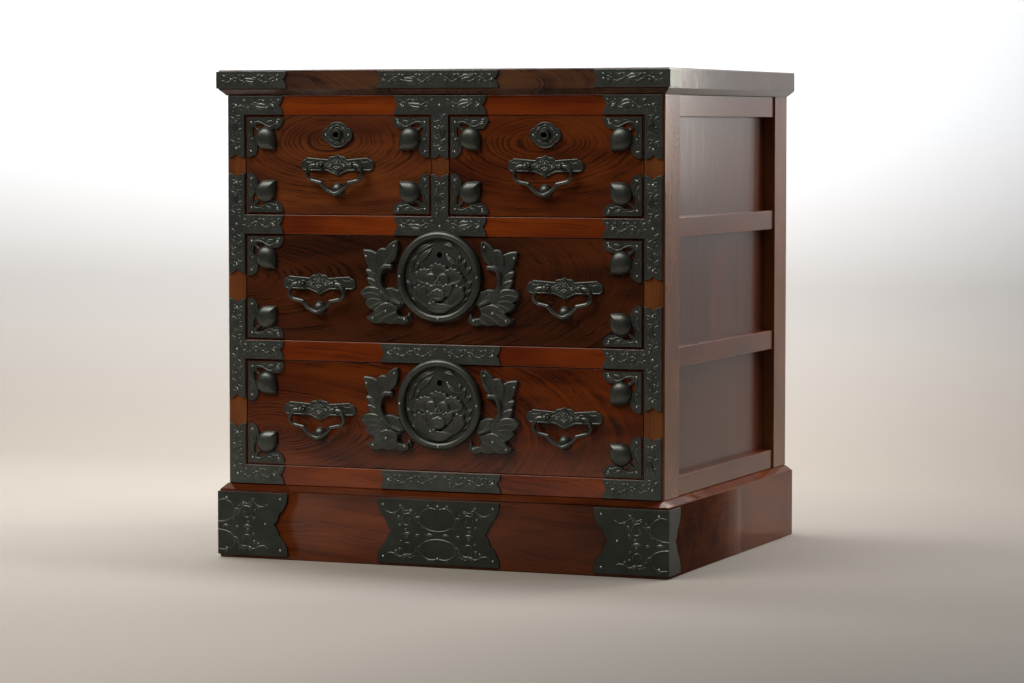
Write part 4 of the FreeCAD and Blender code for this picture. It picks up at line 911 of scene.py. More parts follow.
@dataclass
class NailHeads:
    """Domed nail heads on one body."""

    spots: list[Spot] = field(default_factory=list)
    radius: float = 1.5
    height: float = 0.9
    sides: int = 12
    profile: tuple[Point, ...] = ((1.0, -0.2), (1.0, 0.15), (0.8, 0.62), (0.45, 0.92))
    # the profile's rings as shares of the radius and of the height, from the root up

    def drive(self, face: float, *places: Point) -> None:
        """Drive nails into a face that lies at this Y."""
        self.spots += [(x, face, z) for x, z in places]

    def mesh(self, name: str) -> bpy.types.Mesh:
        """Build all the heads as one mesh.

        Args:
            name: the mesh's name.

        Returns:
            The mesh, in metres.
        """
        shape = bmesh.new()
        for x, y, z in self.spots:
            rings = []
            for share, rise in self.profile:
                rings.append([shape.verts.new(Vector((
                    x + self.radius * share * math.cos(turn * math.tau / self.sides),
                    y - self.height * rise,
                    z + self.radius * share * math.sin(turn * math.tau / self.sides))) * MM)
                    for turn in range(self.sides)])
            crown = shape.verts.new(Vector((x, y - self.height, z)) * MM)
            for turn in range(self.sides):
                after = (turn + 1) % self.sides
                for lower, upper in zip(rings[:-1], rings[1:]):
                    shape.faces.new((lower[turn], lower[after], upper[after], upper[turn]))
                shape.faces.new((rings[-1][turn], rings[-1][after], crown))
        for face in shape.faces:
            face.smooth = True
        mesh = bpy.data.meshes.new(name)
        shape.to_mesh(mesh)
        shape.free()
        return mesh


@dataclass(frozen=True)
class Scroll:
    """Half of a plinth plate's scrollwork: a ring above and below, two curls, tails, leaves."""

    rings: tuple[tuple[Point, ...], ...] = (
        ((2, 66), (10, 67), (19, 62), (22, 54), (18, 46), (9, 42), (0, 41)),
        ((0, 32), (9, 31), (18, 27), (22, 20), (19, 13), (10, 9), (2, 9.5)))
    curls: tuple[tuple[Point, int], ...] = (((37.0, 52.0), 1), ((36.0, 22.0), -1))
    curl: float = 9.5         # a curl's radius where it starts
    tip: float = 13.0         # how far the leaves round it reach
    tails: tuple[tuple[Point, ...], ...] = (
        ((27, 60), (32, 65), (38, 63), (44, 66), (50, 62), (57, 60), (64, 63)),
        ((26, 14), (33, 10), (40, 13), (46, 11), (53, 14), (59, 15), (64, 12)),
        ((20, 48), (25, 51), (28, 56), (26, 61)), ((20, 25), (25, 22), (28, 17), (26, 12)))
    leaves: tuple[tuple[Point, Point], ...] = (
        ((22, 54), (25, 58)), ((18, 46), (22, 44)), ((44, 66), (47, 70)), ((50, 62), (54, 57)),
        ((40, 13), (43, 8)), ((53, 14), (50, 19)), ((10, 67), (13, 71)), ((10, 9), (13, 5.5)),
        ((5, 36.5), (16, 36.5)), ((32, 37), (44, 37)), ((28, 35), (21, 36)))
    rise: float = 0.8

    def chase(self, relief: Relief, at: Callable[[float, float], Point]) -> None:
        """Raise the scrollwork.

        Args:
            relief: the relief that takes it.
            at: turns a place on the half plate into a place on the relief.
        """
        for run in self.rings:
            relief.ridge([at(*spot) for spot in flowing(run)], 2.0, self.rise, ends=(0.7, 0.7))
        for middle, turn in self.curls:
            def polar(reach: float, angle: float, middle: Point = middle) -> Point:
                """Return a place round the curl's middle."""
                return at(middle[0] + reach * math.cos(angle), middle[1] + reach * math.sin(angle))

            spiral = [polar(self.curl - k * 0.62, math.radians(160 - k * 34) * turn)
                      for k in range(12)]
            relief.ridge(flowing(spiral, 4), 1.9, self.rise, ends=(0.6, 0.9))
            for k in range(6):
                angle = math.radians(150 - k * 48) * turn
                relief.leaf(polar(self.curl, angle), polar(self.tip, angle + 0.35 * turn), 4.0,
                            self.rise)
        for run in self.tails:
            relief.ridge([at(*spot) for spot in flowing(run)], 1.9, self.rise)
        for root, tip in self.leaves:
            relief.leaf(at(*root), at(*tip), 4.2, self.rise)


# ---------------------------------------------------------------------------------------
# Case
# ---------------------------------------------------------------------------------------
@dataclass
class CaseWoodwork:
    """The lacquered frame, top, plinth and panels, and the bare boards inside."""

    shop: Workshop
    arris: float = 0.8        # planed off every lacquered edge, so that it catches the light
    plinth_arris: float = 1.1

    def dress(self) -> None:
        """Give each wooden node of the case its finish."""
        self.shop.dress(["top_board"], TOP_EDGE)
        self.shop.dress(["plinth_boards"], PLINTH, self.plinth_arris)
        self.shop.dress(["front_rails"], RAILS, self.arris)
        self.shop.dress(["front_stile_left", "front_stile_right", "rear_post_left",
                         "rear_post_right", "centre_divider"], STILES, self.arris * 0.6)
        self.shop.dress(["side_panel_left", "side_panel_right"], SIDE_PANELS)
        self.shop.dress(["side_rails_left", "side_rails_right"], SIDE_RAILS, self.arris)
        self.shop.dress(["partition_board", "dust_boards", "bottom_board", "drawer_guides",
                         "back_panel", "back_battens"], CARCASS)


@dataclass
class CaseIronwork:
    """Straps on the stiles and rails, and the plates on the top's edge and on the plinth."""

    shop: Workshop
    rails: tuple[float, ...] = (96.7, 240.3, 383.9, 519.5)    # middles of the front rails
    stile: float = 253.25     # middle of a stile strap
    strap: float = 20.5       # width of a strap
    arm_tip: float = 194.5    # where a stile strap's arm ends
    stem_up: float = 47.0     # how far a stem reaches over an opening's lower corner
    stem_down: float = 45.0   # and down past an upper corner
    tee_arm: float = 56.0     # from a centre tee's middle to its tip
    bar: float = 73.0         # the same for the bars on the lower rails
    arm_nail: float = 207.0   # nails: in a stile strap's arm,
    stem_nail: float = 10.5   # this far from a stem's end,
    tee_nail: float = 46.5    # in a centre tee's arm
    bar_nail: float = 63.5    # and in a bar
    edge_level: float = 548.25    # middle of the top board's edge plates
    edge_strap: float = 18.0      # their chased width
    edge_runs: tuple[Point, ...] = ((3.0, 66.0), (196.0, 268.0))
    edge_nails: tuple[Point, ...] = ((66.0, 0.0), (198.0, 0.0), (256.0, 1.0))
    plinth_half: float = 275.6
    plinth_nails: tuple[Point, ...] = ((67.0, 69.5), (67.0, 10.5), (196.0, 69.5), (196.0, 10.5),
                                       (215.0, 40.5), (264.0, 69.0), (264.0, 11.0))
    arris: float = 0.35

    def dress(self) -> None:
        """Finish the straps and add their vines and nails."""
        self.shop.dress(["stile_straps_left", "stile_straps_right", "centre_straps",
                         "top_edge_plates"], CASE_IRON, self.arris)
        self.shop.dress(["plinth_plates"], PLINTH_IRON, self.arris)
        self.chase_frame_straps()
        self.chase_edge_plates()
        self.chase_plinth_plates()

    def stems(self) -> list[Point]:
        """Return the lower and upper end of each stem on a stile."""
        return [(SMALL_BAY[1] - 48.3, SMALL_BAY[1] + 21.0),
                (UPPER_BAY[1] - self.stem_down, SMALL_BAY[0] + self.stem_up),
                (LOWER_BAY[1] - self.stem_down, UPPER_BAY[0] + self.stem_up),
                (self.rails[0] - 10.0, LOWER_BAY[0] + self.stem_up)]

    def chase_frame_straps(self) -> None:
        """Chase the vines on the stile straps, tees and bars, and nail them down."""
        relief = Relief((-266.0, 86.0), (266.0, 531.0))
        relief.cover(*(PlateFace(node) for node in ("stile_straps_left", "stile_straps_right",
                                                    "centre_straps")))
        nails = NailHeads()
        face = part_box("centre_straps")[0].y / MM
        for side in (-1, 1):
            for z in self.rails:
                Vine((side * (self.arm_tip + 4), z), (side * 246.0, z), self.strap, side,
                     bud=z > 500).chase(relief)
                nails.drive(face, (side * self.arm_nail, z), (side * self.stile, z))
            for low, high in self.stems():
                for start, end in self.broken(low + 8.0, high - 8.0):
                    Vine((side * self.stile, start), (side * self.stile, end), self.strap, side,
                         bud=end - start > 30).chase(relief)
                if low > self.rails[0]:
                    nails.drive(face, (side * self.stile, low + self.stem_nail))
                if high < self.rails[3]:
                    nails.drive(face, (side * self.stile, high - self.stem_nail))
        for z, end in ((self.rails[3], 460.0), (self.rails[2], 442.1)):
            for side in (-1, 1):
                Vine((side * 8.0, z), (side * (self.tee_arm - 6), z), self.strap, side,
                     bud=True).chase(relief)
                nails.drive(face, (side * self.tee_nail, z))
            away = math.copysign(1.0, end - z)
            Vine((0.0, z + away * 10), (0.0, end - away * 8), self.strap, 1,
                 bud=True).chase(relief)
            nails.drive(face, (0.0, z), (0.0, end - away * self.stem_nail))
        for z in self.rails[:2]:
            for side in (-1, 1):
                Vine((side * 4.0, z), (side * (self.bar - 7), z), self.strap * 0.9,
                     side).chase(relief)
                nails.drive(face, (side * self.bar_nail, z))
        self.place(relief, "vines_on_frame_straps", nails, "nails_in_frame_straps", face)

    def place(self, relief: Relief, chasing: str, nails: NailHeads, heads: str,
              face: float) -> None:
        """Put a relief and its nails in the scene.

        Args:
            relief: the relief.
            chasing: its piece's name.
            nails: the nails.
            heads: their piece's name.
            face: where the irons' face lies along Y.
        """
        self.shop.add_iron(chasing, relief.mesh(chasing, face), CHASED_IRON, "case")
        self.shop.add_nails(heads, nails, "case")

    def broken(self, low: float, high: float) -> list[Point]:
        """Split a stem where it crosses a rail's middle.

        Args:
            low: its lower end.
            high: its upper end.

        Returns:
            The ends of each part, the rail's end first.
        """
        crossing = [z for z in self.rails if low + 12 < z < high - 12]
        if not crossing:
            return [(low, high)]
        return [(crossing[0] - 5.0, low), (crossing[0] + 5.0, high)]

    def chase_edge_plates(self) -> None:
        """Chase the plates on the top board's front edge."""
        relief = Relief((-276.0, 537.0), (276.0, 559.0))
        relief.cover(PlateFace("top_edge_plates"))
        nails = NailHeads(radius=1.3)
        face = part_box("top_edge_plates")[0].y / MM
        for side in (-1, 1):
            for start, end in self.edge_runs:
                Vine((side * start, self.edge_level), (side * end, self.edge_level),
                     self.edge_strap, side, bud=True).chase(relief)
            nails.drive(face, *((side * x, self.edge_level + z) for x, z in self.edge_nails))
        self.place(relief, "vines_on_edge_plates", nails, "nails_in_edge_plates", face)

    def chase_plinth_plates(self) -> None:
        """Chase the broad scrolls on the plinth's plates."""
        relief = Relief((-276.0, 2.0), (276.0, 78.0))
        relief.cover(PlateFace("plinth_plates"))
        nails = NailHeads(radius=1.4)
        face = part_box("plinth_plates")[0].y / MM
        for side in (-1, 1):
            Scroll().chase(relief, lambda x, z, side=side: (side * x, z))
            Scroll().chase(relief, lambda x, z, side=side: (side * (self.plinth_half - x), z))
            nails.drive(face, *((side * x, z) for x, z in self.plinth_nails))
        nails.drive(face, (0.0, 69.5), (0.0, 10.5))
        self.place(relief, "scrolls_on_plinth_plates", nails, "nails_in_plinth_plates", face)


# ---------------------------------------------------------------------------------------
# Drawers
# ---------------------------------------------------------------------------------------
@dataclass
class Handle:
    """One bail handle: its back plate's chasing; plate, posts and bail are frame nodes."""

    shop: Workshop
    drawer: str
    word: str                 # bail, bail_left or bail_right
    x: float                  # the plate's middle
    z: float
    plate_face: float = -219.3
    boss_face: float = -220.9

    def dress(self) -> None:
        """Chase the plate and its flower, and finish the bail."""
        bail = f"{self.drawer}_{self.word}"
        self.shop.dress([bail], BAIL_IRON)
        relief = Relief((-46.0, -14.0), (46.0, 14.0), 0.4)
        relief.cover(PlateFace(f"{self.drawer}_handle_plates", (self.x, self.z), self.plate_face))
        relief.border(1.0, 1.3, 0.35)
        for side in (-1, 1):
            relief.ridge(flowing([(side * 42.0, -0.5), (side * 38.0, 3.5), (side * 33.0, 3.0),
                                  (side * 29.0, 5.0)]), 1.1, 0.4)
        self.shop.add_iron(f"{bail}_plate_chasing",
                           relief.mesh("bail_plate_chasing", self.plate_face), CHASED_IRON,
                           self.drawer, (self.x, 0.0, self.z))
        self.shop.add_iron(f"{bail}_flower",
                           self.flower().mesh("bail_plate_flower", self.boss_face), CHASED_IRON,
                           self.drawer, (self.x, 0.0, self.z))

    def flower(self) -> Relief:
        """Raise five petals, a lip, a bead and two leaves on the plate's boss.

        Returns:
            Their relief, round the boss's middle.
        """
        flower = Relief((-13.0, -12.0), (13.0, 12.0), 0.3)
        flower.cover(PlateFace(f"{self.drawer}_handle_plates", (self.x, self.z), self.boss_face))
        for turn in (25, 155, 90, 205, 335):
            c, s = math.cos(math.radians(turn)), math.sin(math.radians(turn))
            flower.lobe([(1.5 * s, -1.5 * c - 0.5), (6.0 * c + 2.6 * s, 5.0 * s - 2.6 * c),
                         (6.0 * c - 2.6 * s, 5.0 * s + 2.6 * c), (-1.5 * s, 1.5 * c - 0.5)],
                        0.9, 0.8, [(5.8 * c + 1.6 * s, 4.8 * s - 1.6 * c),
                                   (5.8 * c - 1.6 * s, 4.8 * s + 1.6 * c)], 1.7, 0.25)
        flower.lobe([(-2.5, -7.0), (2.5, -7.0), (3.6, -3.0), (-3.6, -3.0)], 1.3, 0.9,
                    [(-2.6, -3.2), (0.0, -2.4), (2.6, -3.2)], 1.5, 0.25)
        flower.dome((0.0, 2.2), 1.7, 1.3)
        for side in (-1, 1):
            flower.leaf((side * 5.5, -1.0), (side * 11.4, 0.4), 3.4, 0.8)
        flower.border(0.5, 1.0, 0.4)
        return flower


@dataclass
class CornerStraps:
    """The straps on a drawer front's four corners: a fruit between two leafy arms."""

    shop: Workshop
    drawer: str
    x: Point                  # outer faces of the straps
    z: Point
    face: float = -219.5
    nails: tuple[Point, ...] = ((5.5, 5.5), (38.3, 5.2), (5.2, 38.3))    # from the corner
    stem: tuple[Point, ...] = ((8.0, 6.0), (13.5, 4.6), (19.0, 6.2), (24.0, 9.0), (28.5, 10.2),
                               (32.5, 8.8), (36.0, 6.0))
    hook: tuple[Point, ...] = ((12.5, 13.0), (14.6, 15.2), (17.0, 17.0))
    leaves: tuple[tuple[Point, Point, float, float], ...] = (
        # root, tip, width, height
        ((23.0, 7.0), (33.0, 3.2), 3.6, 0.7), ((33.0, 9.0), (41.0, 6.6), 2.8, 0.6),
        ((36.5, 3.0), (42.4, 2.2), 2.0, 0.5))

    def dress(self) -> None:
        """Chase the arms, and nail them down."""
        relief = Relief((self.x[0], self.z[0]), (self.x[1], self.z[1]))
        relief.cover(PlateFace(f"{self.drawer}_corner_straps", level=self.face))
        nails = NailHeads(radius=1.35)
        for cx, across in ((self.x[0], 1), (self.x[1], -1)):
            for cz, up in ((self.z[0], 1), (self.z[1], -1)):
                for swap in (False, True):
                    def at(u: float, v: float, swap: bool = swap, cx: float = cx,
                           cz: float = cz, across: int = across, up: int = up) -> Point:
                        """Return the place so far along an arm and so far from its edge."""
                        a, b = (v, u) if swap else (u, v)
                        return (cx + across * a, cz + up * b)

                    self.chase_arm(relief, at)
                nails.drive(self.face, *((cx + across * u, cz + up * v) for u, v in self.nails))
        vines = f"{self.drawer}_strap_vines"
        self.shop.add_iron(vines, relief.mesh(vines, self.face), CHASED_IRON, self.drawer)
        self.shop.add_nails(f"{self.drawer}_strap_nails", nails, self.drawer)

    def chase_arm(self, relief: Relief, at: Callable[[float, float], Point]) -> None:
        """Raise the stem, leaves and hatches of one arm.

        Args:
            relief: the relief that takes them.
            at: turns a place on the arm into a place on the relief.
        """
        relief.ridge([at(*spot) for spot in flowing(self.stem)], 1.5, 0.8, ends=(0.6, 0.5))
        for root, tip, width, height in self.leaves:
            relief.leaf(at(*root), at(*tip), width, height)
        for u in (18.0, 20.2):
            relief.ridge([at(u, 2.2), at(u + 1.6, 4.4)], 0.8, 0.5)
        relief.ridge([at(*spot) for spot in flowing(self.hook)], 1.6, 0.7, ends=(0.8, 0.6))


@dataclass
class Escutcheon:
    """A small drawer's key plate: beads and petals round the key boss."""

    shop: Workshop
    drawer: str
    x: float
    z: float
    face: float = -219.5

    def dress(self) -> None:
        """Chase the plate and nail it down."""
        relief = Relief((-19.0, -15.0), (19.0, 15.0), 0.3)
        relief.cover(PlateFace(f"{self.drawer}_escutcheon", (self.x, self.z), self.face))
        relief.border(0.7, 1.1, 0.5)
        for turn in range(0, 360, 45):
            reach = 15.5 if turn % 180 == 0 else 12.6
            c, s = math.cos(math.radians(turn)), math.sin(math.radians(turn))
            if turn % 180:
                relief.leaf((8.2 * c, 8.2 * s), (reach * c, reach * s * 0.98), 4.2, 0.9)
            for side in (-14, 14):
                a = math.radians(turn + 22.5 + side * 0.6)
                relief.dome((11.2 * math.cos(a), 10.2 * math.sin(a)), 1.0, 0.7)
        self.shop.add_iron(f"{self.drawer}_key_plate_chasing",
                           relief.mesh("key_plate_chasing", self.face), CHASED_IRON, self.drawer,
                           (self.x, 0.0, self.z))
        nails = NailHeads(radius=1.3)
        nails.drive(self.face, (self.x - 14.1, self.z), (self.x + 14.1, self.z))
        self.shop.add_nails(f"{self.drawer}_key_plate_nails", nails, self.drawer)


@dataclass
class LockMedallion:
    """A wide drawer's round lock plate: a peony among leaves inside the plain rim."""

    shop: Workshop
    drawer: str
    z: float                  # the disc's middle
    drawer_y: float = -217.5  # the drawer front's face
    field_edge: float = 3.0   # how far the domed field stands off it at the rim
    field_middle: float = 4.4
    inner: float = 42.6       # radius of the field
    keyhole: float = 24.5     # above the disc's middle
    rim_width: float = 8.6
    rim_height: float = 8.8
    petals: tuple[tuple[float, float, tuple[Point, ...], tuple[Point, ...]], ...] = (
        # level, rolled rim, scallops along the rim, the rest of the petal
        (1.6, 1.7, ((-33.6, -7.4), (-32.8, -2.4), (-30.8, 2.4)), ((-20.0, 2.0), (-14.0, -8.0))),
        (1.6, 1.7, ((30.8, 1.0), (32.8, -3.6), (33.0, -8.6)), ((14.0, -10.0), (20.0, 2.0))),
        (3.0, 1.7, ((-10.8, 13.0), (-4.2, 16.2), (2.6, 15.4), (8.8, 12.8)),
         ((9.0, 2.0), (0.0, -4.0), (-9.0, 2.0))),
        (3.4, 1.9, ((-29.6, 4.6), (-24.2, 8.6), (-17.6, 10.0), (-11.4, 9.4)),
         ((-4.0, 3.0), (-6.0, -8.0), (-20.0, -10.0), (-29.0, -4.0))),
        (3.4, 1.9, ((10.2, 9.0), (15.8, 10.8), (22.0, 9.6), (27.2, 5.4), (30.0, 0.6)),
         ((28.0, -6.0), (18.0, -10.0), (6.0, -8.0), (4.0, 3.0))),
        (3.4, 2.0, ((-32.8, -18.4), (-31.4, -12.2), (-26.4, -8.8), (-21.0, -10.6)),
         ((-15.0, -14.0), (-10.0, -20.0), (-5.0, -28.0), (-5.0, -34.0), (-14.0, -36.0),
          (-24.0, -31.0), (-31.0, -24.0))),
        (3.4, 2.0, ((19.4, -12.6), (24.4, -8.8), (29.6, -11.0), (31.8, -16.8)),
         ((31.0, -23.0), (25.0, -30.0), (15.0, -36.0), (4.0, -34.0), (4.0, -28.0),
          (10.0, -22.5), (14.5, -17.0))),
        (4.7, 2.0, ((-14.0, -31.6), (-8.4, -28.0), (-2.4, -29.4)),
         ((4.0, -28.8), (11.0, -30.4), (16.0, -34.4), (9.0, -40.0), (0.0, -41.8), (-9.0, -40.0),
          (-15.5, -36.0))),
        (4.5, 2.1, (), ((-18.0, -5.0), (-16.4, 0.8), (-11.6, 4.2), (-5.6, 3.6), (-1.6, -0.6),
                        (-1.6, -8.0), (-7.0, -12.0), (-14.0, -11.4))),
        (4.9, 2.0, (), ((-1.6, -3.0), (0.8, 2.4), (6.0, 4.4), (11.4, 2.4), (14.0, -3.0),
                        (12.0, -9.6), (6.0, -12.0), (0.0, -9.0))),
        (5.2, 1.2, (), ((-6.4, -9.6), (-3.4, -5.4), (-0.3, -2.6), (2.8, -5.4), (5.8, -9.6),
                        (4.0, -15.0), (-4.6, -15.0))),
        (5.5, 1.7, ((-19.4, -11.0), (-14.2, -7.2), (-8.2, -9.2)),
         ((-5.0, -14.0), (-7.0, -23.0), (-15.0, -22.0))),
        (5.6, 1.7, ((5.6, -10.2), (11.2, -7.6), (17.2, -7.6)),
         ((18.0, -15.0), (10.0, -23.0), (4.0, -15.0))),
        (6.4, 1.9, ((-9.2, -18.0), (-5.2, -14.4), (-0.3, -13.0), (4.6, -14.4), (8.4, -18.0)),
         ((8.4, -23.0), (4.0, -27.0), (-4.6, -27.0), (-9.4, -23.0))))
    scallop: float = 4.0      # radius of a scallop on a petal's rim
    notch: float = 0.9        # how deep the notches between them are
    bead_spots: tuple[Point, ...] = ((-4.6, -9.4), (-2.6, -6.6), (-0.3, -4.2), (2.0, -6.6),
                                     (4.2, -9.4), (-1.9, -9.6), (1.4, -9.6))
    leaves: tuple[tuple[Point, Point, float, float], ...] = (
        # root, tip, width, bow
        ((-28.4, 26.1), (-6.6, 37.0), 7.0, 1.6), ((-25.4, 16.2), (-7.6, 32.8), 7.6, 0.6),
        ((-36.4, 4.2), (-27.4, 24.4), 7.4, 1.8), ((-30.0, 7.5), (-25.0, 17.0), 5.4, -0.6),
        ((5.0, 37.0), (20.6, 31.6), 6.0, 1.4), ((21.8, 13.6), (8.6, 24.2), 6.6, 0.8),
        ((24.4, 12.0), (25.4, 25.2), 6.0, 1.0), ((29.5, 8.0), (31.5, 20.5), 6.0, 1.2),
        ((32.4, 3.6), (38.9, 12.0), 5.8, 1.0), ((33.3, -12.4), (40.0, -3.4), 5.8, 1.2),
        ((32.4, -21.0), (38.4, -13.0), 5.4, 1.0), ((26.0, -30.0), (34.6, -22.5), 5.0, 0.8),
        ((-26.0, -30.0), (-34.6, -22.5), 5.0, -0.8), ((-34.4, -14.0), (-40.4, -4.0), 5.4, -1.0))
    tendril: tuple[Point, ...] = ((31.0, 14.0), (25.0, 26.0), (16.0, 33.4), (5.0, 37.0))

    def dress(self) -> None:
        """Chase the field and nail the rim down."""
        relief = Relief((-43.0, -43.0), (43.0, 43.0), 0.38)
        self.wreathe(relief)
        self.peony(relief)
        radius = np.hypot(relief.x[:, None], relief.z[None, :])
        hole = np.hypot(relief.x[:, None], relief.z[None, :] - self.keyhole)
        relief.inside = (radius < self.inner - 0.4) & (hole > 4.2)
        crown = (self.field_middle - self.field_edge) * (1 - (radius / self.inner) ** 2)
        relief.crown = np.maximum(crown, 0.0)
        mesh = relief.mesh("peony_medallion", self.drawer_y - self.field_edge)
        self.shop.add_iron(f"{self.drawer}_peony", mesh, DRAWER_IRON, self.drawer,
                           (0.0, 0.0, self.z))
        nails = NailHeads(radius=1.4)
        middle = self.inner + self.rim_width / 2
        for x, z in ((-middle, 0.0), (middle, 0.0), (0.0, -middle)):
            nails.drive(self.drawer_y - self.rim_height + 0.2, (x, self.z + z))
        nails.drive(self.drawer_y - self.field_middle + 0.5, (9.5, self.z + 25.0))
        self.shop.add_nails(f"{self.drawer}_lock_plate_nails", nails, self.drawer)

    def peony(self, relief: Relief) -> None:
        """Raise the peony, its outer petals first, and crease each petal towards its root."""
        for level, roll, rim, rest in self.petals:
            root = np.mean(rest, axis=0)

            def inset(depth: float) -> list[Point]:
                """Return the rim's places moved so far towards the petal's root."""
                moved = [place + (root - place) / math.dist(root, place) * depth for place in rim]
                return [(float(place[0]), float(place[1])) for place in moved]

            around = inset(self.notch) + list(rest)
            relief.lobe(flowing(around + around[:1], 4)[:-1], level, roll,
                        inset(self.scallop - 0.2), self.scallop, 0.7 if rim else 0.3, 1.7)
        for spot in self.bead_spots:
            relief.dome(spot, 1.4, 0.9, 5.3)

    def wreathe(self, relief: Relief) -> None:
        """Raise the leaves and the two tendrils round the flower."""
        for root, tip, width, bow in self.leaves:
            relief.leaf(root, tip, width, 1.7, 0.3, bow)
        for side in (-1, 1):
            relief.ridge(flowing([(side * x, z) for x, z in self.tendril]), 1.4, 1.0)


@dataclass
class Foliage:
    """The openwork leaves on both sides of a lock plate."""

    shop: Workshop
    drawer: str
    z: float                  # the disc's middle
    face: float = -220.5
    sheets: tuple[tuple[float, float, tuple[Point, ...]], ...] = (
        # level, rolled rim, outline; each lies over the ones before it
        (1.9, 1.3, ((-99, 9), (-91, 7.1), (-84, 6.2), (-79, 2), (-77.5, -1), (-73, -8), (-82, -9),
                    (-99, -6))),
        (2.5, 1.3, ((-99, -2), (-89.4, -2.4), (-84, -2.6), (-78.5, -5.2), (-76.5, -7.5),
                    (-71, -16), (-84, -18), (-99, -12))),
        (3.0, 1.4, ((-101, -22), (-97.7, -18.4), (-91.4, -13.1), (-86, -12), (-78, -12.8),
                    (-74, -15), (-70, -18), (-62, -27), (-62, -38), (-85, -46), (-101, -40))),
        (1.7, 1.2, ((-66.4, -13.8), (-58, -13.2), (-49, -15), (-44, -24), (-47, -31), (-56, -27),
                    (-62, -21))),
        (2.2, 1.3, ((-77.5, 27.5), (-79.3, 20), (-78.8, 12), (-75.5, 7), (-70, 1), (-60, 6),
                    (-46, 20), (-45, 46), (-68, 46))),
        (3.2, 1.3, ((-53.5, 42), (-54.5, 36), (-56.5, 27), (-64, 16.5), (-68, 8), (-52, 8),
                    (-42, 30))),
        (3.8, 1.6, ((-93, -52), (-89.8, -46.4), (-84.4, -44), (-80.8, -39), (-76.5, -36.2),
                    (-72.2, -32.3), (-66.4, -29.9), (-60.6, -29.4), (-56, -31), (-50.5, -34),
                    (-40, -40), (-30, -60), (-88, -60))))
    stalk: tuple[Point, ...] = (
        (-60.1, 10.9), (-64.9, 11), (-69.3, 8.1), (-72, 3.6), (-72.6, -0.9), (-71.9, -8.4),
        (-69.1, -14.4), (-65.6, -19.9), (-60.1, -25.9), (-54.1, -29), (-47.8, -31.4))
    veins: tuple[tuple[Point, ...], ...] = (
        ((-88, 24), (-84, 16), (-80, 9)), ((-72, 32), (-70, 22), (-70, 13)),
        ((-58, 37), (-60.5, 28), (-66, 18)), ((-94, 3.5), (-86, 1.5), (-80, -3)),
        ((-93, -6.5), (-86, -7.5), (-79, -11)), ((-95, -21), (-84, -18.5), (-74, -21)),
        ((-92, -29), (-82, -25), (-72, -26.5)), ((-86, -36), (-78, -31.5), (-70, -29)),
        ((-61, -17), (-56, -22), (-50, -28)), ((-86, -49), (-76, -43.5), (-64, -37)),
        ((-72, -50), (-62, -43.5), (-50, -39)), ((-56, -50), (-50, -46), (-42, -43)))

    def dress(self) -> None:
        """Lay the leaves over one another, raise the curling stalk and cut the veins."""
        relief = Relief((-97.0, -56.0), (-30.0, 42.0), 0.45)
        relief.cover(PlateFace(f"{self.drawer}_foliage", (0.0, self.z), self.face))
        relief.puff(1.0, 2.0)
        for level, roll, outline in self.sheets:
            relief.lobe(outline, level, roll, dish=0.3)
        relief.ridge(flowing(self.stalk), 7.4, 3.2, ends=(0.75, 0.4), base=0.9)
        relief.hold()
        for run in self.veins:
            relief.groove(flowing(run), 0.9, 0.35)
        relief.round_over(1.8)
        mesh = relief.mesh("lock_plate_foliage", self.face, mirror=True)
        self.shop.add_iron(f"{self.drawer}_leaf_relief", mesh, DRAWER_IRON, self.drawer,
                           (0.0, 0.0, self.z))
        nails = NailHeads(radius=1.35)
        for side in (-1, 1):
            nails.drive(self.face - 0.9, (side * 90.1, self.z + 21.9))
            nails.drive(self.face - 2.6, (side * 55.0, self.z + 34.1))
            nails.drive(self.face - 3.3, (side * 65.1, self.z - 39.9),
                        (side * 81.3, self.z - 47.9), (side * 42.1, self.z - 48.4))
        self.shop.add_nails(f"{self.drawer}_leaf_nails", nails, self.drawer)


@dataclass
class Drawer:
    """One drawer: its figured front, bare linings, straps, lock and bails."""

    shop: Workshop
    name: str
    wood: LacqueredKeyaki
    opening: Point            # left and right edge of its opening
    bay: Point                # lower and upper edge of it
    bails: tuple[tuple[str, float], ...]    # the name and place of each
    bail_rise: float = 0.0    # of the bail's pivots over the drawer's middle
    key_drop: float = 22.2    # from the opening's upper edge to the keyhole
    gap: float = 0.9          # round the front
    strap_inset: float = 1.7
    arris: float = 0.9
    iron_arris: float = 0.3

    def dress(self) -> None:
        """Finish the drawer's nodes and add its chased pieces."""
        self.shop.dress([f"{self.name}_front"], self.wood, self.arris)
        self.shop.dress([f"{self.name}_box"], LININGS, 0.5)
        self.shop.dress([f"{self.name}_lock_case"], LOCK_IRON, 0.3)
        self.shop.dress([f"{self.name}_lock_bolt"], BAIL_IRON, 0.4)
        self.shop.dress([f"{self.name}_corner_straps", f"{self.name}_handle_plates"], DRAWER_IRON,
                        self.iron_arris)
        inset = self.gap + self.strap_inset
        CornerStraps(self.shop, self.name, (self.opening[0] + inset, self.opening[1] - inset),
                     (self.bay[0] + inset, self.bay[1] - inset)).dress()
        middle = (self.bay[0] + self.bay[1]) / 2
        for word, x in self.bails:
            Handle(self.shop, self.name, word, x, middle + self.bail_rise).dress()
        self.dress_lock()

    def dress_lock(self) -> None:
        """Finish the key plate of a small drawer."""
        self.shop.dress([f"{self.name}_escutcheon"], DRAWER_IRON, self.iron_arris)
        Escutcheon(self.shop, self.name, sum(self.opening) / 2,
                   self.bay[1] - self.key_drop).dress()


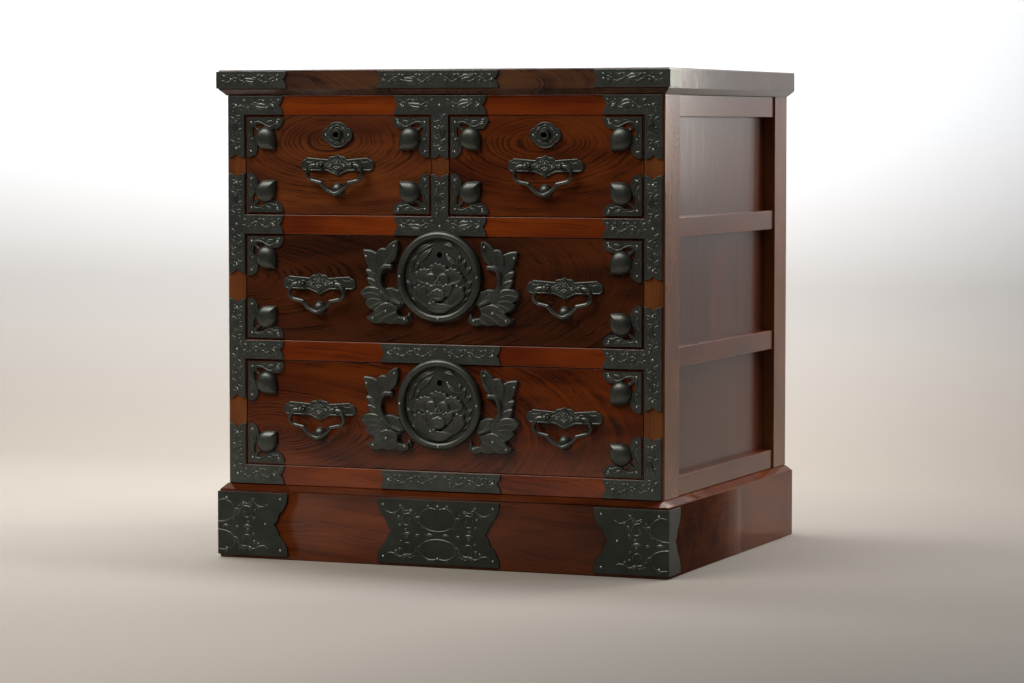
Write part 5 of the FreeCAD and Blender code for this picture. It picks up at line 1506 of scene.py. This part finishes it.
@dataclass
class WideDrawer(Drawer):
    """A wide drawer: it has a round lock plate with foliage, and two bails."""

    bail_rise: float = 5.0
    key_drop: float = 20.8
    disc_drop: float = 24.5   # from the keyhole to the lock plate's middle

    def dress_lock(self) -> None:
        """Finish the lock plate and its foliage."""
        self.shop.dress([f"{self.name}_lock_plate"], DRAWER_IRON)
        self.shop.dress([f"{self.name}_foliage"], DRAWER_IRON, self.iron_arris)
        middle = self.bay[1] - self.key_drop - self.disc_drop
        LockMedallion(self.shop, self.name, middle).dress()
        Foliage(self.shop, self.name, middle).dress()


# ---------------------------------------------------------------------------------------
# Studio
# ---------------------------------------------------------------------------------------
@dataclass(frozen=True)
class Softbox:
    """A soft lamp with a rectangular face."""

    name: str
    spot: Spot                # where it hangs
    aim: Spot                 # the place that it faces
    size: Point               # its width and height
    power: float              # in watts
    colour: str

    def hang(self) -> None:
        """Put the lamp in the scene."""
        light = bpy.data.lights.new(self.name, "AREA")
        light.shape = "RECTANGLE"
        light.size, light.size_y = self.size[0] * MM, self.size[1] * MM
        light.energy = self.power
        light.color = linear(self.colour)[:3]
        holder = bpy.data.objects.new(self.name, light)
        bpy.context.scene.collection.objects.link(holder)
        holder.location = Vector(self.spot) * MM
        way = (Vector(self.aim) - Vector(self.spot)).normalized()
        holder.rotation_euler = way.to_track_quat("-Z", "Y").to_euler()


@dataclass
class Studio:
    """A pale floor that sweeps up behind the chest, soft lamps and the camera."""

    lamps: tuple[Softbox, ...] = (
        # A broad key light from the upper left, a wash for the wall, a window on the right.
        Softbox("key_softbox", (-1344.0, -1960.0, 2634.0), (0.0, -200.0, 330.0),
                (2300.0, 1900.0), 84.0, "#fffcf6"),
        Softbox("wall_wash", (-200.0, 200.0, 1900.0), (-150.0, 1050.0, 350.0),
                (2800.0, 500.0), 70.0, "#eff5ff"),
        Softbox("window_softbox", (790.0, 950.0, 900.0), (275.0, 0.0, 700.0),
                (560.0, 1000.0), 14.0, "#fff6ea"))
    floor_colour: str = "#a0968a"
    wall_colour: str = "#eceded"
    dim_air: str = "#3b3733"
    bright_air: str = "#dfe6ee"
    air_strength: float = 0.35
    wall_y: float = 1050.0
    cove: float = 260.0       # radius of the curve between floor and wall
    fade: float = 560.0       # height over which the floor's colour fades to the wall's
    shade_from: float = -200.0    # the paper darkens to the right between these
    shade_to: float = 800.0
    shade_left: float = 0.45  # share of its light colour that is left there
    half: float = 5200.0      # half the sweep's width
    front: float = -1500.0    # the floor's front edge
    height: float = 3600.0    # of the wall
    cove_steps: int = 12

    def build(self) -> None:
        """Make the sweep, the lamps, the sky and the camera."""
        self.sweep()
        for lamp in self.lamps:
            lamp.hang()
        self.sky()
        self.camera()

    def sweep(self) -> None:
        """Make the floor and wall as one curved sheet."""
        profile = [(self.front, 0.0), (self.wall_y - self.cove, 0.0)]
        for k in range(1, self.cove_steps + 1):
            angle = math.radians(90.0 * k / self.cove_steps)
            profile.append((self.wall_y - self.cove + self.cove * math.sin(angle),
                            self.cove * (1 - math.cos(angle))))
        profile.append((self.wall_y, self.height))
        shape = bmesh.new()
        rows = [[shape.verts.new(Vector((x, y, z)) * MM) for y, z in profile]
                for x in (-self.half, self.half)]
        for k in range(len(profile) - 1):
            face = shape.faces.new((rows[0][k], rows[1][k], rows[1][k + 1], rows[0][k + 1]))
            face.smooth = True
        mesh = bpy.data.meshes.new("studio_sweep")
        shape.to_mesh(mesh)
        shape.free()
        sheet = bpy.data.objects.new("studio_sweep", mesh)
        bpy.context.scene.collection.objects.link(sheet)
        mesh.materials.append(self.paper())

    def paper(self) -> bpy.types.Material:
        """Make matt backdrop paper: pale grey underfoot, near white on the wall.

        Returns:
            A node material that fades upwards and to the right.
        """
        material, tree = fresh_material("matt_backdrop_paper")
        place = place_on(tree)
        aside, up = split(tree, place, "XZ")
        colour = blend(tree, eased(tree, up, 0.0, self.fade * MM), linear(self.floor_colour),
                       linear(self.wall_colour))
        shade = eased(tree, aside, self.shade_from * MM, self.shade_to * MM, 1.0, self.shade_left)
        tooth = bump(tree, noise(tree, place, 300.0, 2.0)["Fac"], 0.1, 0.3)
        paper = add_node(tree, "ShaderNodeBsdfPrincipled", None,
                         {"Base Color": blend(tree, 1.0, colour, shade, "MULTIPLY"),
                          "Roughness": 0.9, "Normal": tooth})
        # Seen from its back the sheet lets the view through, so that the chest's back shows.
        behind = add_node(tree, "ShaderNodeNewGeometry").outputs["Backfacing"]
        clear = add_node(tree, "ShaderNodeBsdfTransparent")
        sheet = add_node(tree, "ShaderNodeMixShader", None,
                         {0: behind, 1: paper.outputs[0], 2: clear.outputs[0]})
        add_node(tree, "ShaderNodeOutputMaterial", None, {"Surface": sheet.outputs[0]})
        return material

    def sky(self) -> None:
        """Fill light: bright from above and from behind, dim in the room before the chest."""
        world = bpy.data.worlds.new("studio_air")
        bpy.context.scene.world = world
        world.use_nodes = True
        tree = world.node_tree
        tree.nodes.clear()
        way = add_node(tree, "ShaderNodeTexCoord").outputs["Generated"]
        back, up = split(tree, way, "YZ")
        bright = combine(tree, "MAXIMUM", eased(tree, up, 0.3, 1.0), eased(tree, back, -0.5, 0.6))
        colour = blend(tree, bright, linear(self.dim_air), linear(self.bright_air))
        glow = add_node(tree, "ShaderNodeBackground", None,
                        {"Color": colour, "Strength": self.air_strength})
        add_node(tree, "ShaderNodeOutputWorld", None, {"Surface": glow.outputs[0]})

    def camera(self) -> None:
        """Set the camera."""
        lens = bpy.data.cameras.new("view")
        lens.sensor_width = SENSOR_MM
        lens.lens = LENS_MM
        lens.clip_end = 50.0
        holder = bpy.data.objects.new("view", lens)
        bpy.context.scene.collection.objects.link(holder)
        holder.location = Vector(CAMERA_SPOT_MM) * MM
        holder.rotation_euler = [math.radians(turn) for turn in CAMERA_TURN_DEG]
        bpy.context.scene.camera = holder


def main() -> None:
    """Build the looks in order, from the case to the studio."""
    logging.basicConfig(level=logging.INFO, format="%(name)s: %(message)s")
    bpy.context.scene.view_settings.view_transform = "Standard"
    shop = Workshop()
    CaseWoodwork(shop).dress()
    CaseIronwork(shop).dress()
    Drawer(shop, "left_drawer", SMALL_LEFT, LEFT_OPENING, SMALL_BAY, (("bail", -126.4),)).dress()
    Drawer(shop, "right_drawer", SMALL_RIGHT, RIGHT_OPENING, SMALL_BAY,
           (("bail", 126.4),)).dress()
    pair = (("bail_left", -149.5), ("bail_right", 149.5))
    WideDrawer(shop, "upper_wide_drawer", UPPER_WIDE, WIDE_OPENING, UPPER_BAY, pair).dress()
    WideDrawer(shop, "lower_wide_drawer", LOWER_WIDE, WIDE_OPENING, LOWER_BAY, pair).dress()
    Studio().build()


if __name__ == "__main__":
    main()
